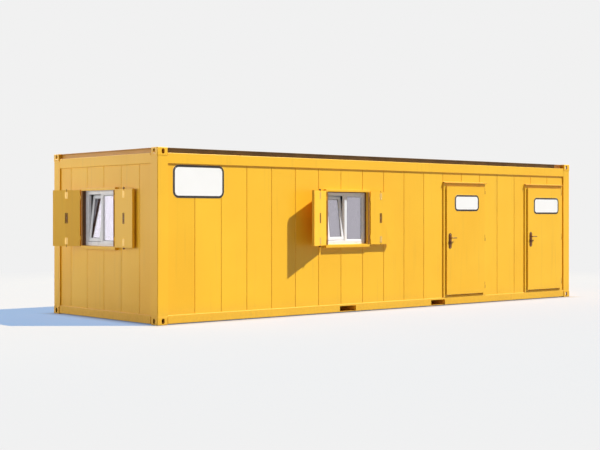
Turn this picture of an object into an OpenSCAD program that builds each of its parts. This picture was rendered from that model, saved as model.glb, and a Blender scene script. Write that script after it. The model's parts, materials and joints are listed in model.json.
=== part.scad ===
// Portable site cabin: a welded steel frame with container style corner
// castings, insulated panel walls, two outward doors and two shuttered windows.
// Units are millimetres. The front wall faces -Y, the left end wall faces -X
// and +Z is up. The origin is on the ground under the middle of the base.

/* [Cabin] */
// Length over the corner castings
cabin_length = 9760; // [9000:10:12200]
// Width over the corner castings
cabin_width = 3000; // [2700:10:3600]
// Height over the corner castings
cabin_height = 2600; // [2500:10:3000]

/* [Corner castings and posts] */
// Casting size along the cabin
casting_l = 178; // [170:1:184]
// Casting size across the cabin
casting_w = 162; // [156:1:180]
// Casting height
casting_h = 118; // [110:1:130]
// Thick wall of a casting, on its outer faces
casting_wall = 28; // [20:1:30]
// Thin wall of a casting, on its welded faces
casting_back = 12; // [8:1:16]
// Aperture centre, in from the casting's end face
aperture_x = 101.5; // [95:0.5:104]
// Aperture centre, in from the casting's side face
aperture_y = 89; // [84:0.5:94]
// Length of the aperture in the top or bottom face
lock_slot_l = 124; // [110:1:126]
// Width of the aperture in the top or bottom face
lock_slot_w = 63.5; // [50:0.5:66]
// Height of the apertures in the upright faces
side_slot_h = 79.5; // [70:0.5:84]
// Width of the apertures in the upright faces
side_slot_w = 51; // [40:0.5:56]
// Radius of a casting's outer edges
casting_round = 12; // [8:1:16]
// Width of a corner post along each wall
post_w = 190; // [186:1:220]
// Set-back of the posts behind the casting faces
post_set = 4; // [2:0.5:8]
// Bend radius of a post's outer corner
post_round = 12; // [6:1:20]

/* [Rails and floor] */
// Set-back of the rails behind the casting faces
rail_set = 6; // [3:0.5:10]
// Clear height of the bottom rails above the ground
base_clear = 12; // [8:1:16]
// Height of the bottom rails' top face
bottom_rail_top = 140; // [130:1:170]
// Drop from the casting tops to the top rails' top face
roof_edge_h = 80; // [70:1:90]
// Height of the top rails
top_rail_h = 158; // [120:1:170]
// Bend radius of the rails' outer edges
rail_round = 8; // [4:1:14]
// Ledge of the rails that carries the floor and the roof
rail_ledge = 24; // [10:1:40]
// Thickness of the floor deck
floor_t = 25; // [18:1:30]
// Depth of a floor joist
joist_h = 100; // [80:1:110]
// Width of a floor joist
joist_w = 50; // [40:1:80]
// Spacing of the floor joists
joist_pitch = 600; // [400:10:800]

/* [Fork pockets] */
// Distance of each fork pocket from the middle of the cabin
fork_offset = 1091; // [900:1:1200]
// Clear width of a fork pocket
fork_w = 360; // [300:1:380]
// Clear height of a fork pocket
fork_h = 88; // [70:1:92]
// Height of a fork pocket's floor
fork_z = 21; // [20:1:26]
// Plate thickness of a fork pocket
fork_plate = 6; // [4:0.5:8]

/* [Walls and roof] */
// Set-back of the wall panels behind the casting faces
wall_recess = 25; // [20:1:40]
// Thickness of the wall panels
panel_t = 60; // [40:1:80]
// Spacing of the panel joints
panel_pitch = 493.6; // [400:0.1:600]
// Depth of the groove at a panel joint
groove = 7; // [4:0.5:10]
// Gap left between neighbouring panels
panel_gap = 0.6; // [0.2:0.1:0.8]
// Thickness of the ceiling lining
ceiling_t = 30; // [20:1:50]
// Thickness of the roof sheet between its ribs
roof_t = 14; // [10:1:20]
// Height of a roof rib
roof_rib_h = 30; // [20:1:36]
// Spacing of the roof ribs
roof_rib_pitch = 300; // [240:1:400]
// Width of a roof rib at its foot
roof_rib_w = 130; // [80:1:160]
// Width of a roof rib at its crown
roof_crown_w = 86; // [40:1:110]
// Set-back of the roof upstand behind the top rail's face
upstand_set = 55; // [40:1:58]
// Sheet thickness of the roof edge
edge_sheet = 6; // [4:0.5:8]

/* [Windows] */
// Front window's middle, from the first door's middle
front_window_from_door = 2927; // [2200:1:4000]
// End window's middle, from the front of the cabin
end_window_from_front = 1580; // [1350:1:1700]
// Width of a window opening
window_w = 900; // [700:1:940]
// Height of a window opening
window_h = 860; // [600:1:1000]
// Drop from the casting tops to a window opening's head
window_drop = 611; // [520:1:800]
// Face width of the window frame
frame_face = 62; // [45:1:75]
// Depth of the window frame
frame_depth = 50; // [40:1:56]
// Bevel round each light of the window frame
frame_bevel = 8; // [4:0.5:12]
// Face width of the bar between the two lights
mullion_w = 56; // [40:1:80]
// Width of the glazing bead round the fixed light
bead_w = 18; // [10:1:25]
// Step from the frame's face back to the bead
bead_step = 4; // [2:0.5:8]
// Bevel of the glazing bead
bead_bevel = 8; // [4:0.5:10]
// Face width of the tilting sash
sash_face = 56; // [40:1:65]
// Thickness of the tilting sash
sash_t = 46; // [36:1:50]
// Bevel round the tilting sash's pane
sash_bevel = 10; // [4:0.5:12]
// Inward tilt of the sash, in degrees
sash_tilt = 6.5; // [4:0.5:9]
// Gap round the tilting sash
sash_gap = 3; // [2:0.5:5]
// Thickness of the glazing
glass_t = 20; // [16:1:28]

/* [Shutters] */
// Distance that the shutter surround stands off the wall
surround_proud = 60; // [50:1:90]
// Face width of the surround's sides and head
surround_face = 40; // [30:1:60]
// Face height of the surround's sill
surround_sill = 54; // [40:1:70]
// Outward fall of the surround's sill
sill_fall = 6; // [3:0.5:9]
// Thickness of a shutter leaf
leaf_t = 45; // [30:1:48]
// Bend radius of a leaf's outer edges
leaf_round = 6; // [3:0.5:12]
// Lap of the leaves over the surround at top and bottom
leaf_lap = 12.5; // [8:0.5:25]
// Gap between the two closed leaves
leaf_meet = 6; // [5:0.5:12]
// Opening angle of the front window's left leaf
front_left_open = 155; // [90:1:180]
// Opening angle of the front window's right leaf
front_right_open = 180; // [90:1:180]
// Opening angle of the end window's left leaf
end_left_open = 148; // [90:1:180]
// Opening angle of the end window's right leaf
end_right_open = 180; // [90:1:180]
// Radius of a shutter bolt
bolt_r = 5; // [4:0.5:8]
// Depth of a shutter bolt behind the leaf's inner face
bolt_set = 3; // [2:0.5:5]
// Length of a shutter bolt's guide
bolt_guide = 60; // [40:1:120]
// Reach of a shutter bolt past the leaf's edge
bolt_reach = 14; // [8:1:18]
// Height of the handle recess in a leaf
recess_h = 144; // [100:1:180]
// Width of the handle recess in a leaf
recess_w = 32; // [24:1:60]
// Depth of the handle recess in a leaf
recess_d = 14; // [10:1:20]
// Gap between a shutter's grip and the edge of its recess
grip_margin = 7; // [4:0.5:9]
// Thickness of a shutter's grip
grip_t = 7; // [4:0.5:8]
// Radius of the pivot that carries a shutter's grip
grip_pivot_r = 8; // [5:0.5:10]

/* [Doors] */
// First door's middle, from the right end of the cabin
door_1_from_right = 3076; // [2900:1:3300]
// Second door's middle, from the right end of the cabin
door_2_from_right = 805; // [790:1:900]
// Clear width of a doorway
doorway_w = 970; // [800:1:980]
// Drop from the casting tops to a doorway's head
doorway_drop = 502; // [440:1:700]
// Face width of a door jamb
jamb_w = 85; // [60:1:88]
// Face height of a door frame's head
head_h = 80; // [60:1:90]
// Height of the threshold's top face
threshold_z = 178; // [172:1:190]
// Bevel of the threshold's outer edge
threshold_nose = 12; // [6:1:20]
// Distance that the door frame stands off the wall
frame_proud = 20; // [10:1:24]
// Thickness of a door leaf's outer plate
plate_t = 20; // [16:1:26]
// Lap of the outer plate over the frame
plate_lap = 25; // [15:1:35]
// Depth of a door leaf's core behind its outer plate
core_t = 50; // [30:1:60]
// Distance that a drip cap stands off the wall
cap_proud = 50; // [46:1:70]
// Height of a drip cap
cap_h = 26; // [18:1:40]
// Height of a drip cap's front lip
cap_lip = 8; // [6:0.5:12]
// Sheet thickness of a drip cap
cap_sheet = 2.5; // [1.5:0.5:4]
// Height of a door handle's spindle
spindle_z = 1200; // [900:1:1300]
// Spindle's distance from the door leaf's free edge
backset = 83; // [60:1:110]
// Length of a door handle's plate
handle_plate_h = 260; // [220:1:300]
// Reach of a door handle's plate below the spindle
handle_plate_low = 182; // [150:1:190]
// Width of a door handle's plate
handle_plate_w = 45; // [36:1:60]
// Thickness of a door handle's plate
handle_plate_t = 8; // [5:1:12]
// Length of a lever
lever_l = 130; // [90:1:150]
// Radius of a lever's bar
lever_r = 8; // [6:0.5:10]
// Distance of a lever's bar from the handle plate
lever_out = 42; // [30:1:60]
// Radius of a lever's neck
lever_neck_r = 9; // [8:0.5:11]
// Radius of a lever's bends
lever_bend = 16; // [11:1:22]
// Radius of a door spindle
spindle_r = 6; // [4:0.5:8]
// Distance from the spindle down to the key cylinder
key_drop = 72; // [60:1:92]
// Radius of a key cylinder
key_r = 9; // [7:0.5:12]
// Reach of a key cylinder past the handle plate
key_out = 8; // [4:1:12]

/* [Hinges] */
// Barrel radius of a door hinge
door_barrel_r = 9; // [7:0.5:10]
// Height of a door hinge
door_hinge_h = 116; // [80:1:140]
// Gap from a door hinge's barrel to the leaf's edge
door_hinge_gap = 1; // [0.5:0.5:3]
// Height of the lowest door hinge above the leaf's foot
door_hinge_low = 85; // [60:1:200]
// Drop from the leaf's top to the foot of the highest door hinge
door_hinge_drop = 130; // [120:1:250]
// Thickness of a door hinge's strap
door_strap_t = 12; // [6:1:14]
// Distance of a door hinge's plate from the frame's edge
door_wing_in = 10; // [4:1:16]
// Barrel radius of a shutter hinge
shutter_barrel_r = 8; // [6:0.5:8.5]
// Height of a shutter hinge
shutter_hinge_h = 70; // [50:1:100]
// Distance of the shutter hinges from the leaf's ends
shutter_hinge_in = 90; // [40:1:160]
// Gap from the surround's side to the shutter hinge line
shutter_side_gap = 3; // [2:0.5:4.5]
// Gap from the surround's face to a shutter hinge's barrel
shutter_face_gap = 2; // [1:0.5:4]
// Gap from a shutter hinge's barrel to the leaf
shutter_leaf_gap = 4; // [3:0.5:8]
// Thickness of a shutter hinge's strap
shutter_strap_t = 6; // [4:0.5:7]
// Depth of a shutter hinge's strap behind the leaf's inner face
shutter_strap_set = 1; // [0.5:0.5:2]
// Width of a shutter hinge's plate
shutter_wing = 44; // [30:1:60]
// Thickness of the hinge plates
wing_t = 5; // [3:0.5:6]
// Share of a barrel's radius that the pin takes
pin_share = 0.5; // [0.4:0.05:0.6]

/* [Clearances] */
// Gap round a turning pin or spindle
pin_clear = 0.3; // [0.1:0.05:0.5]
// Gap between pieces that are seated without a fit
seat_clear = 0.3; // [0.1:0.05:0.5]
// Gap between a moving leaf and what it passes
swing_clear = 5; // [5:0.5:8]
// Gap between a door leaf's core and its frame
core_clear = 8; // [7:0.5:12]

/* [Hidden] */
$fn = 48;
// Extra length of a cutting tool past the face it cuts
cut = 20;

cabin_yellow = "#f2b021";
roof_brown = "#6a4a3c";
frame_white = "#eef0f0";
handle_brown = "#4a2f22";
bolt_black = "#26221f";
floor_grey = "#8c8a84";
base_brown = "#5a3328";
glass_grey = "#b9b6c4";

half_l = cabin_length / 2;
half_w = cabin_width / 2;
long_half = half_l - post_w;
end_half = half_w - post_w;

wall_in = wall_recess + panel_t;
rail_in = wall_in + rail_ledge;
top_rail_top = cabin_height - roof_edge_h;
wall_z0 = bottom_rail_top;
wall_z1 = top_rail_top - top_rail_h;

door_1_x = half_l - door_1_from_right;
door_2_x = half_l - door_2_from_right;
front_window_x = door_1_x - front_window_from_door;
least_panel = panel_pitch / 4;
end_window_x = half_w - end_window_from_front;
window_z = cabin_height - window_drop - window_h;
light_w = (window_w - 2 * frame_face - mullion_w) / 2;
light_h = window_h - 2 * frame_face;
light_z = window_z + frame_face;
frame_set = panel_t - frame_depth;
pane_y = frame_set + (frame_depth - glass_t) / 2;
sash_w = light_w - 2 * sash_gap;
sash_h = light_h - 2 * sash_gap;
sash_pane_w = sash_w - 2 * sash_face;
sash_pane_h = sash_h - 2 * sash_face;

shutter_axis_x = window_w / 2 + surround_face + shutter_side_gap;
shutter_axis_y = -surround_proud - shutter_barrel_r - shutter_face_gap;
leaf_start = shutter_barrel_r + shutter_leaf_gap;
leaf_end = shutter_axis_x - leaf_meet / 2;
leaf_mid = (leaf_start + leaf_end) / 2;
leaf_z0 = window_z - leaf_lap;
leaf_z1 = window_z + window_h + leaf_lap;
leaf_zm = (leaf_z0 + leaf_z1) / 2;
bolt_y = -bolt_r - bolt_set;
shutter_hinge_levels = [leaf_z0 + shutter_hinge_in, leaf_z1 - shutter_hinge_in - shutter_hinge_h];

doorway_top = cabin_height - doorway_drop;
frame_half = doorway_w / 2 + jamb_w;
frame_top = doorway_top + head_h;
plate_half = doorway_w / 2 + plate_lap;
plate_y = -frame_proud - swing_clear - plate_t;
leaf_bottom = threshold_z + core_clear;
leaf_top = doorway_top + plate_lap;
door_axis_x = plate_half + door_barrel_r + door_hinge_gap;
door_axis_y = plate_y + plate_t / 2;
hinge_low = leaf_bottom + door_hinge_low;
hinge_high = leaf_top - door_hinge_drop;
hinge_levels = [hinge_low, (hinge_low + hinge_high) / 2, hinge_high];
handle_x = -plate_half + backset;
door_leaf_t = plate_t + core_t;

// Each side's frame has X to the right as seen from outside, Y inward from
// the plane of the casting faces and Z up from the ground.
module front_side() {
    translate([0, -half_w, 0]) children();
}

module rear_side() {
    rotate([0, 0, 180]) translate([0, -half_w, 0]) children();
}

module left_side() {
    rotate([0, 0, -90]) translate([0, -half_l, 0]) children();
}

module right_side() {
    rotate([0, 0, 90]) translate([0, -half_l, 0]) children();
}

module long_sides() {
    front_side() children();
    rear_side() children();
}

module end_sides() {
    left_side() children();
    right_side() children();
}

// Frames on the wall's outer face, at the middle of a window or a door
module at_front_window() {
    front_side() translate([front_window_x, wall_recess, 0]) children();
}

module at_end_window() {
    left_side() translate([end_window_x, wall_recess, 0]) children();
}

module at_door(x) {
    front_side() translate([x, wall_recess, 0]) children();
}

// A shutter's frame: hinge line at the origin, closed leaf along +X, inner
// face at Y 0, swung open by the given angle; side -1 is the left leaf
module at_shutter(side, angle) {
    mirror([side > 0 ? 1 : 0, 0, 0])
        translate([-shutter_axis_x, shutter_axis_y, 0])
            rotate([0, 0, -angle]) children();
}

// A slot with round ends, cut along Z from z 0, long along X
module slot(length, width, depth) {
    reach = (length - width) / 2;
    for (side = [-1, 1]) translate([side * reach, 0, 0]) cylinder(d = width, h = depth);
    translate([-reach, -width / 2, 0]) cube([2 * reach, width, depth]);
}

// Outline of a block whose corner at the origin is rounded
module block_outline(w, d, r) {
    translate([r, 0]) square([w - r, d]);
    translate([0, r]) square([w, d - r]);
    translate([r, r]) circle(r);
}

// Outline of a folded section whose two edges at y 0 are rounded
module folded_outline(w, d, r) {
    translate([r, 0]) square([w - 2 * r, d]);
    translate([0, r]) square([w, d - r]);
    for (x = [r, w - r]) translate([x, r]) circle(r);
}

// Flared mouth of an opening: the clear opening's lower left corner is at the
// origin, in a face at y 0, and the flare narrows to it at the bevel's depth
module flare(w, h, bevel) {
    mouth = bevel + cut;
    intersection() {
        translate([0, 0, -mouth]) linear_extrude(h + 2 * mouth)
            polygon([[-mouth, -cut], [w + mouth, -cut], [w, bevel], [0, bevel]]);
        translate([-mouth, 0, 0]) rotate([90, 0, 90]) linear_extrude(w + 2 * mouth)
            polygon([[-cut, -mouth], [bevel, 0], [bevel, h], [-cut, h + mouth]]);
    }
}

// Solid block of a casting, rounded on the three edges that meet at its outer
// corner
module casting_block() {
    intersection() {
        linear_extrude(casting_h) block_outline(casting_l, casting_w, casting_round);
        translate([0, casting_w, 0]) rotate([90, 0, 0]) linear_extrude(casting_w)
            block_outline(casting_l, casting_h, casting_round);
        rotate([90, 0, 90]) linear_extrude(casting_l)
            block_outline(casting_w, casting_h, casting_round);
    }
}

// Corner casting with its outer corner at the origin, running to +X, +Y and
// +Z, and its locking aperture in the face at z 0
module casting() {
    z_mid = casting_h / 2;
    difference() {
        casting_block();
        translate([casting_wall, casting_wall, casting_wall])
            cube([casting_l - casting_wall - casting_back, casting_w - casting_wall - casting_back,
                  casting_h - casting_wall - casting_back]);
        translate([aperture_x, aperture_y, -cut])
            slot(lock_slot_l, lock_slot_w, casting_wall + 2 * cut);
        translate([aperture_x, -cut, z_mid])
            rotate([-90, 90, 0]) slot(side_slot_h, side_slot_w, casting_wall + 2 * cut);
        translate([-cut, aperture_y, z_mid])
            rotate([0, 90, 0]) slot(side_slot_h, side_slot_w, casting_wall + 2 * cut);
    }
}

// The four corners of the base, with +X and +Y pointing into the cabin
module at_corners() {
    for (sx = [0, 1], sy = [0, 1])
        mirror([sx, 0, 0]) mirror([0, sy, 0]) translate([-half_l, -half_w, 0]) children();
}

module bottom_corner_castings() {
    color(cabin_yellow) at_corners() casting();
}

module top_corner_castings() {
    color(cabin_yellow) at_corners() translate([0, 0, cabin_height]) mirror([0, 0, 1]) casting();
}

// Angle shaped posts, flush inside with the wall panels
module corner_posts() {
    color(cabin_yellow) at_corners() translate([0, 0, casting_h])
        linear_extrude(cabin_height - 2 * casting_h) difference() {
            translate([post_set, post_set])
                block_outline(post_w - post_set, post_w - post_set, post_round);
            translate([wall_in, wall_in]) square(post_w);
        }
}

// Rail of the given half length between the posts, with a tongue through it
// that reaches the castings
module rail(half, z0, z1, reach, tongue_z0, tongue_z1) {
    tongue_set = rail_set + rail_round;
    translate([-half, rail_set, z1]) rotate([0, 90, 0]) linear_extrude(2 * half)
        folded_outline(z1 - z0, rail_in - rail_set, rail_round);
    translate([-reach, tongue_set, tongue_z0])
        cube([2 * reach, rail_in - tongue_set, tongue_z1 - tongue_z0]);
}

module bottom_rail(half, reach) {
    rail(half, base_clear, bottom_rail_top, reach, base_clear, casting_h);
}

module top_rail(half, reach) {
    rail(half, wall_z1, top_rail_top, reach, cabin_height - casting_h, top_rail_top);
}

module fork_openings() {
    for (side = [-1, 1])
        translate([side * fork_offset - fork_w / 2, -half_w - cut, fork_z])
            cube([fork_w, cabin_width + 2 * cut, fork_h]);
}

module long_bottom_rails() {
    color(cabin_yellow) difference() {
        long_sides() bottom_rail(long_half, half_l - casting_l);
        fork_openings();
    }
}

module end_bottom_rails() {
    color(cabin_yellow) end_sides() bottom_rail(end_half, half_w - casting_w);
}

module long_top_rails() {
    color(cabin_yellow) long_sides() top_rail(long_half, half_l - casting_l);
}

module end_top_rails() {
    color(cabin_yellow) end_sides() top_rail(end_half, half_w - casting_w);
}

module fork_pockets() {
    tube_w = fork_w + 2 * fork_plate;
    tube_l = cabin_width - 2 * rail_in;
    color(base_brown) difference() {
        for (side = [-1, 1])
            translate([side * fork_offset - tube_w / 2, -tube_l / 2, fork_z - fork_plate])
                cube([tube_w, tube_l, fork_h + 2 * fork_plate]);
        fork_openings();
    }
}

module floor_joists() {
    reach = floor((half_l - rail_in - joist_w) / joist_pitch);
    keep_off = (fork_w + joist_w) / 2 + fork_plate;
    length = cabin_width - 2 * rail_in;
    color(base_brown) for (k = [-reach : reach]) {
        x = k * joist_pitch;
        if (abs(abs(x) - fork_offset) > keep_off)
            translate([x - joist_w / 2, -length / 2, bottom_rail_top - joist_h])
                cube([joist_w, length, joist_h]);
    }
}

// A slab that fills the room's plan between the inner faces of the walls
module room_slab(z, thickness) {
    translate([wall_in - half_l, wall_in - half_w, z])
        cube([cabin_length - 2 * wall_in, cabin_width - 2 * wall_in, thickness]);
}

module floor_deck() {
    color(floor_grey) room_slab(bottom_rail_top, floor_t);
}

module ceiling_panel() {
    color(frame_white) room_slab(wall_z1 - ceiling_t, ceiling_t);
}

// Panel joints are spaced from the middle of a wall; shift 0.5 puts a panel in
// the middle, and 0 a joint
function joints(half, shift) = [
    for (k = [-ceil(half / panel_pitch) : ceil(half / panel_pitch)])
        let (p = (k + shift) * panel_pitch)
            if (abs(p) < half - least_panel) p
];

// One upright panel, with its outer edges bevelled where it meets the next; on
// a narrow strip the bevels leave a third of the face
module panel(lo, hi, z0, z1, lo_joint, hi_joint) {
    a = lo + panel_gap / 2;
    b = hi - panel_gap / 2;
    bevel = min(groove, (b - a) / 3);
    lo_edge = lo_joint ? [[a, bevel], [a + bevel, 0]] : [[a, 0]];
    hi_edge = hi_joint ? [[b - bevel, 0], [b, bevel]] : [[b, 0]];
    translate([0, wall_recess, z0]) linear_extrude(z1 - z0)
        polygon(concat(lo_edge, hi_edge, [[b, panel_t], [a, panel_t]]));
}

// The panels of a wall between two places along it
module panel_run(from, to, z0, half, shift) {
    edges = concat([-half], joints(half, shift), [half]);
    for (i = [0 : len(edges) - 2]) {
        lo = max(from, edges[i]);
        hi = min(to, edges[i + 1]);
        if (hi - lo > 2 * panel_gap)
            panel(lo, hi, z0, wall_z1, lo == edges[i], hi == edges[i + 1]);
    }
}

module window_opening() {
    translate([-window_w / 2, -cut, window_z]) cube([window_w, panel_t + 2 * cut, window_h]);
}

module front_wall_left() {
    color(cabin_yellow) difference() {
        front_side() panel_run(-long_half, door_1_x - frame_half, wall_z0, long_half, 0.5);
        at_front_window() window_opening();
    }
}

module front_wall_over_doors() {
    color(cabin_yellow) for (x = [door_1_x, door_2_x])
        front_side() panel_run(x - frame_half, x + frame_half, frame_top, long_half, 0.5);
}

module front_wall_beside_doors() {
    color(cabin_yellow) front_side() {
        panel_run(door_1_x + frame_half, door_2_x - frame_half, wall_z0, long_half, 0.5);
        panel_run(door_2_x + frame_half, long_half, wall_z0, long_half, 0.5);
    }
}

module rear_wall() {
    color(cabin_yellow) rear_side() panel_run(-long_half, long_half, wall_z0, long_half, 0.5);
}

module left_end_wall() {
    color(cabin_yellow) difference() {
        left_side() panel_run(-end_half, end_half, wall_z0, end_half, 0);
        at_end_window() window_opening();
    }
}

module right_end_wall() {
    color(cabin_yellow) right_side() panel_run(-end_half, end_half, wall_z0, end_half, 0);
}

// Ribbed sheet, lying on the top rails inside the upstand
module roof_sheet() {
    inset = rail_set + upstand_set + edge_sheet;
    half_x = half_l - inset;
    half_y = half_w - inset;
    ribs = floor((half_x - roof_rib_w) / roof_rib_pitch);
    top = [
        for (k = [ribs : -1 : -ribs], p = [
            [roof_rib_w / 2, roof_t], [roof_crown_w / 2, roof_t + roof_rib_h],
            [-roof_crown_w / 2, roof_t + roof_rib_h], [-roof_rib_w / 2, roof_t]
        ]) [k * roof_rib_pitch + p[0], p[1]]
    ];
    outline = concat([[-half_x, 0], [half_x, 0], [half_x, roof_t]], top, [[-half_x, roof_t]]);
    color(roof_brown) difference() {
        translate([0, half_y, top_rail_top]) rotate([90, 0, 0])
            linear_extrude(2 * half_y) polygon(outline);
        at_corners() translate([-cut, -cut, top_rail_top - cut])
            cube([casting_l + cut, casting_w + cut, roof_edge_h]);
    }
}

// Upstand behind the top rail with a cover strip out over it
module edge_strip(half) {
    web = rail_set + upstand_set;
    top = roof_edge_h - edge_sheet;
    translate([-half, 0, top_rail_top]) rotate([90, 0, 90]) linear_extrude(2 * half)
        polygon([
            [web, 0], [web + edge_sheet, 0], [web + edge_sheet, top],
            [2 * rail_set, top], [2 * rail_set, top - edge_sheet], [web, top - edge_sheet]
        ]);
}

module roof_edge() {
    color(roof_brown) {
        long_sides() edge_strip(half_l - casting_l);
        end_sides() edge_strip(half_w - casting_w);
    }
}

// Steel box frame round a window, on the wall's outer face, with a sill that
// falls outward
module shutter_surround() {
    outer_w = window_w + 2 * surround_face;
    color(cabin_yellow) difference() {
        translate([-outer_w / 2, -surround_proud, window_z - surround_sill])
            cube([outer_w, surround_proud, window_h + surround_face + surround_sill]);
        translate([0, -surround_proud, 0]) window_opening();
        translate([-window_w / 2, 0, window_z]) rotate([90, 0, 90]) linear_extrude(window_w)
            polygon([[0, 0], [0, cut], [-surround_proud - cut, cut],
                     [-surround_proud - cut, -sill_fall], [-surround_proud, -sill_fall]]);
    }
}

module front_shutter_surround() {
    at_front_window() shutter_surround();
}

module end_shutter_surround() {
    at_end_window() shutter_surround();
}

// Frame at the lower left corner of a light; side -1 is the tilting light
module at_light(side, inset, y) {
    x = side < 0 ? -mullion_w / 2 - light_w : mullion_w / 2;
    translate([x + inset, y, light_z + inset]) children();
}

// A light's clear opening between two depths
module light(side, inset, y0, y1) {
    at_light(side, inset, y0) cube([light_w - 2 * inset, y1 - y0, light_h - 2 * inset]);
}

// A light's mouth, bevelled from the given depth
module light_flare(side, inset, y, bevel) {
    at_light(side, inset, y) flare(light_w - 2 * inset, light_h - 2 * inset, bevel);
}

// Two-light frame: the fixed light has a stepped and bevelled glazing bead
module window_frame() {
    color(frame_white) difference() {
        translate([-window_w / 2, frame_set, window_z]) cube([window_w, frame_depth, window_h]);
        light(-1, 0, frame_set - cut, panel_t + cut);
        light_flare(-1, 0, frame_set, frame_bevel);
        light(1, bead_w, frame_set - cut, panel_t + cut);
        light_flare(1, 0, frame_set, bead_step);
        light_flare(1, bead_w, frame_set + bead_step, bead_bevel);
        light(1, 0, pane_y, panel_t + cut);
    }
}

module front_window_frame() {
    at_front_window() window_frame();
}

module end_window_frame() {
    at_end_window() window_frame();
}

// The tilting light's frame: sash foot at the origin, leaning inward
module at_sash() {
    foot = seat_clear + sash_t / 2 * sin(sash_tilt);
    translate([-mullion_w / 2 - light_w / 2, frame_set + frame_depth / 2, light_z + foot])
        rotate([-sash_tilt, 0, 0]) children();
}

// The tilting sash, bevelled round its pane inside and out
module window_sash() {
    color(frame_white) at_sash() difference() {
        translate([-sash_w / 2, -sash_t / 2, 0]) cube([sash_w, sash_t, sash_h]);
        translate([-sash_pane_w / 2, -sash_t / 2 - cut, sash_face])
            cube([sash_pane_w, sash_t + 2 * cut, sash_pane_h]);
        for (face = [0, 1]) mirror([0, face, 0])
            translate([-sash_pane_w / 2, -sash_t / 2, sash_face])
                flare(sash_pane_w, sash_pane_h, sash_bevel);
    }
}

module front_window_sash() {
    at_front_window() window_sash();
}

module end_window_sash() {
    at_end_window() window_sash();
}

module window_glass() {
    color(glass_grey) {
        light(1, 0, pane_y, pane_y + glass_t);
        at_sash() translate([-sash_pane_w / 2, -glass_t / 2, sash_face])
            cube([sash_pane_w, glass_t, sash_pane_h]);
    }
}

module front_window_glass() {
    at_front_window() window_glass();
}

module end_window_glass() {
    at_end_window() window_glass();
}

// Jambs run full height, with the head and a bevelled threshold between them
module door_frame() {
    depth = frame_proud + panel_t;
    between = doorway_w - 2 * seat_clear;
    color(cabin_yellow) translate([0, -frame_proud, 0]) {
        for (x = [-frame_half, doorway_w / 2])
            translate([x, 0, wall_z0]) cube([jamb_w, depth, frame_top - wall_z0]);
        translate([-between / 2, 0, doorway_top]) cube([between, depth, head_h]);
        translate([-between / 2, 0, 0]) rotate([90, 0, 90]) linear_extrude(between)
            polygon([[0, wall_z0], [depth, wall_z0], [depth, threshold_z],
                     [threshold_nose, threshold_z], [0, threshold_z - threshold_nose]]);
    }
}

module door_1_frame() {
    at_door(door_1_x) door_frame();
}

module door_2_frame() {
    at_door(door_2_x) door_frame();
}

// Folded sheet over a door: a flange on the wall, a sloping top and a front lip
module drip_cap() {
    translate([-frame_half, 0, frame_top]) rotate([90, 0, 90]) linear_extrude(2 * frame_half)
        polygon([[0, 0], [0, cap_h], [-cap_proud, cap_lip], [-cap_proud, 0],
                 [cap_sheet - cap_proud, 0], [cap_sheet - cap_proud, cap_lip - cap_sheet],
                 [-cap_sheet, cap_h - 2 * cap_sheet], [-cap_sheet, 0]]);
}

module door_drip_caps() {
    color(cabin_yellow) for (x = [door_1_x, door_2_x]) at_door(x) drip_cap();
}

// Lower half of a lift-off hinge: barrel and standing pin on the hinge line
module hinge_lower(barrel_r, height) {
    barrel_h = (height - seat_clear) / 2;
    cylinder(r = barrel_r, h = barrel_h);
    cylinder(r = barrel_r * pin_share, h = height);
}

// Upper half of a lift-off hinge: barrel with a bore, and a strap along +X
module hinge_upper(barrel_r, height, strap_x, strap_y, strap_t) {
    barrel_h = (height - seat_clear) / 2;
    translate([0, 0, height - barrel_h]) difference() {
        union() {
            cylinder(r = barrel_r, h = barrel_h);
            translate([0, strap_y, 0]) cube([strap_x, strap_t, barrel_h]);
        }
        translate([0, 0, -cut]) cylinder(r = barrel_r * pin_share + pin_clear, h = height + 2 * cut);
    }
}

module at_door_hinges() {
    for (z = hinge_levels) translate([door_axis_x, door_axis_y, z]) children();
}

module door_hinge_pins() {
    wing = frame_half - door_axis_x - door_wing_in;
    foot = -frame_proud - door_axis_y;
    color(cabin_yellow) for (x = [door_1_x, door_2_x]) at_door(x) at_door_hinges() {
        hinge_lower(door_barrel_r, door_hinge_h);
        translate([-wing_t / 2, 0, 0]) cube([wing_t, foot, (door_hinge_h - seat_clear) / 2]);
        translate([-wing_t / 2, foot - wing_t, 0])
            cube([wing, wing_t, (door_hinge_h - seat_clear) / 2]);
    }
}

// Outer plate that laps the frame, and a core that fills the doorway, with a
// bore for the spindle through both
module door_leaf() {
    core_half = doorway_w / 2 - core_clear;
    strap = door_axis_x - plate_half;
    color(cabin_yellow) {
        difference() {
            union() {
                translate([-plate_half, plate_y, leaf_bottom])
                    cube([2 * plate_half, plate_t, leaf_top - leaf_bottom]);
                translate([-core_half, plate_y + plate_t, leaf_bottom])
                    cube([2 * core_half, core_t, doorway_top - core_clear - leaf_bottom]);
            }
            at_spindle() translate([0, 0, -door_leaf_t - cut])
                cylinder(r = spindle_r + pin_clear, h = door_leaf_t + 2 * cut);
        }
        at_door_hinges() mirror([1, 0, 0])
            hinge_upper(door_barrel_r, door_hinge_h, strap, -door_strap_t / 2, door_strap_t);
    }
}

module door_1_leaf() {
    at_door(door_1_x) door_leaf();
}

module door_2_leaf() {
    at_door(door_2_x) door_leaf();
}

// The spindle's frame: on the outer face of the leaf, +Z pointing outward
module at_spindle() {
    translate([handle_x, plate_y, spindle_z]) rotate([90, 0, 0]) children();
}

// What a door has on its outer face and, turned over, on its inner face
module on_both_faces() {
    children();
    translate([0, 0, -door_leaf_t]) mirror([0, 0, 1]) children();
}

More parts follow.
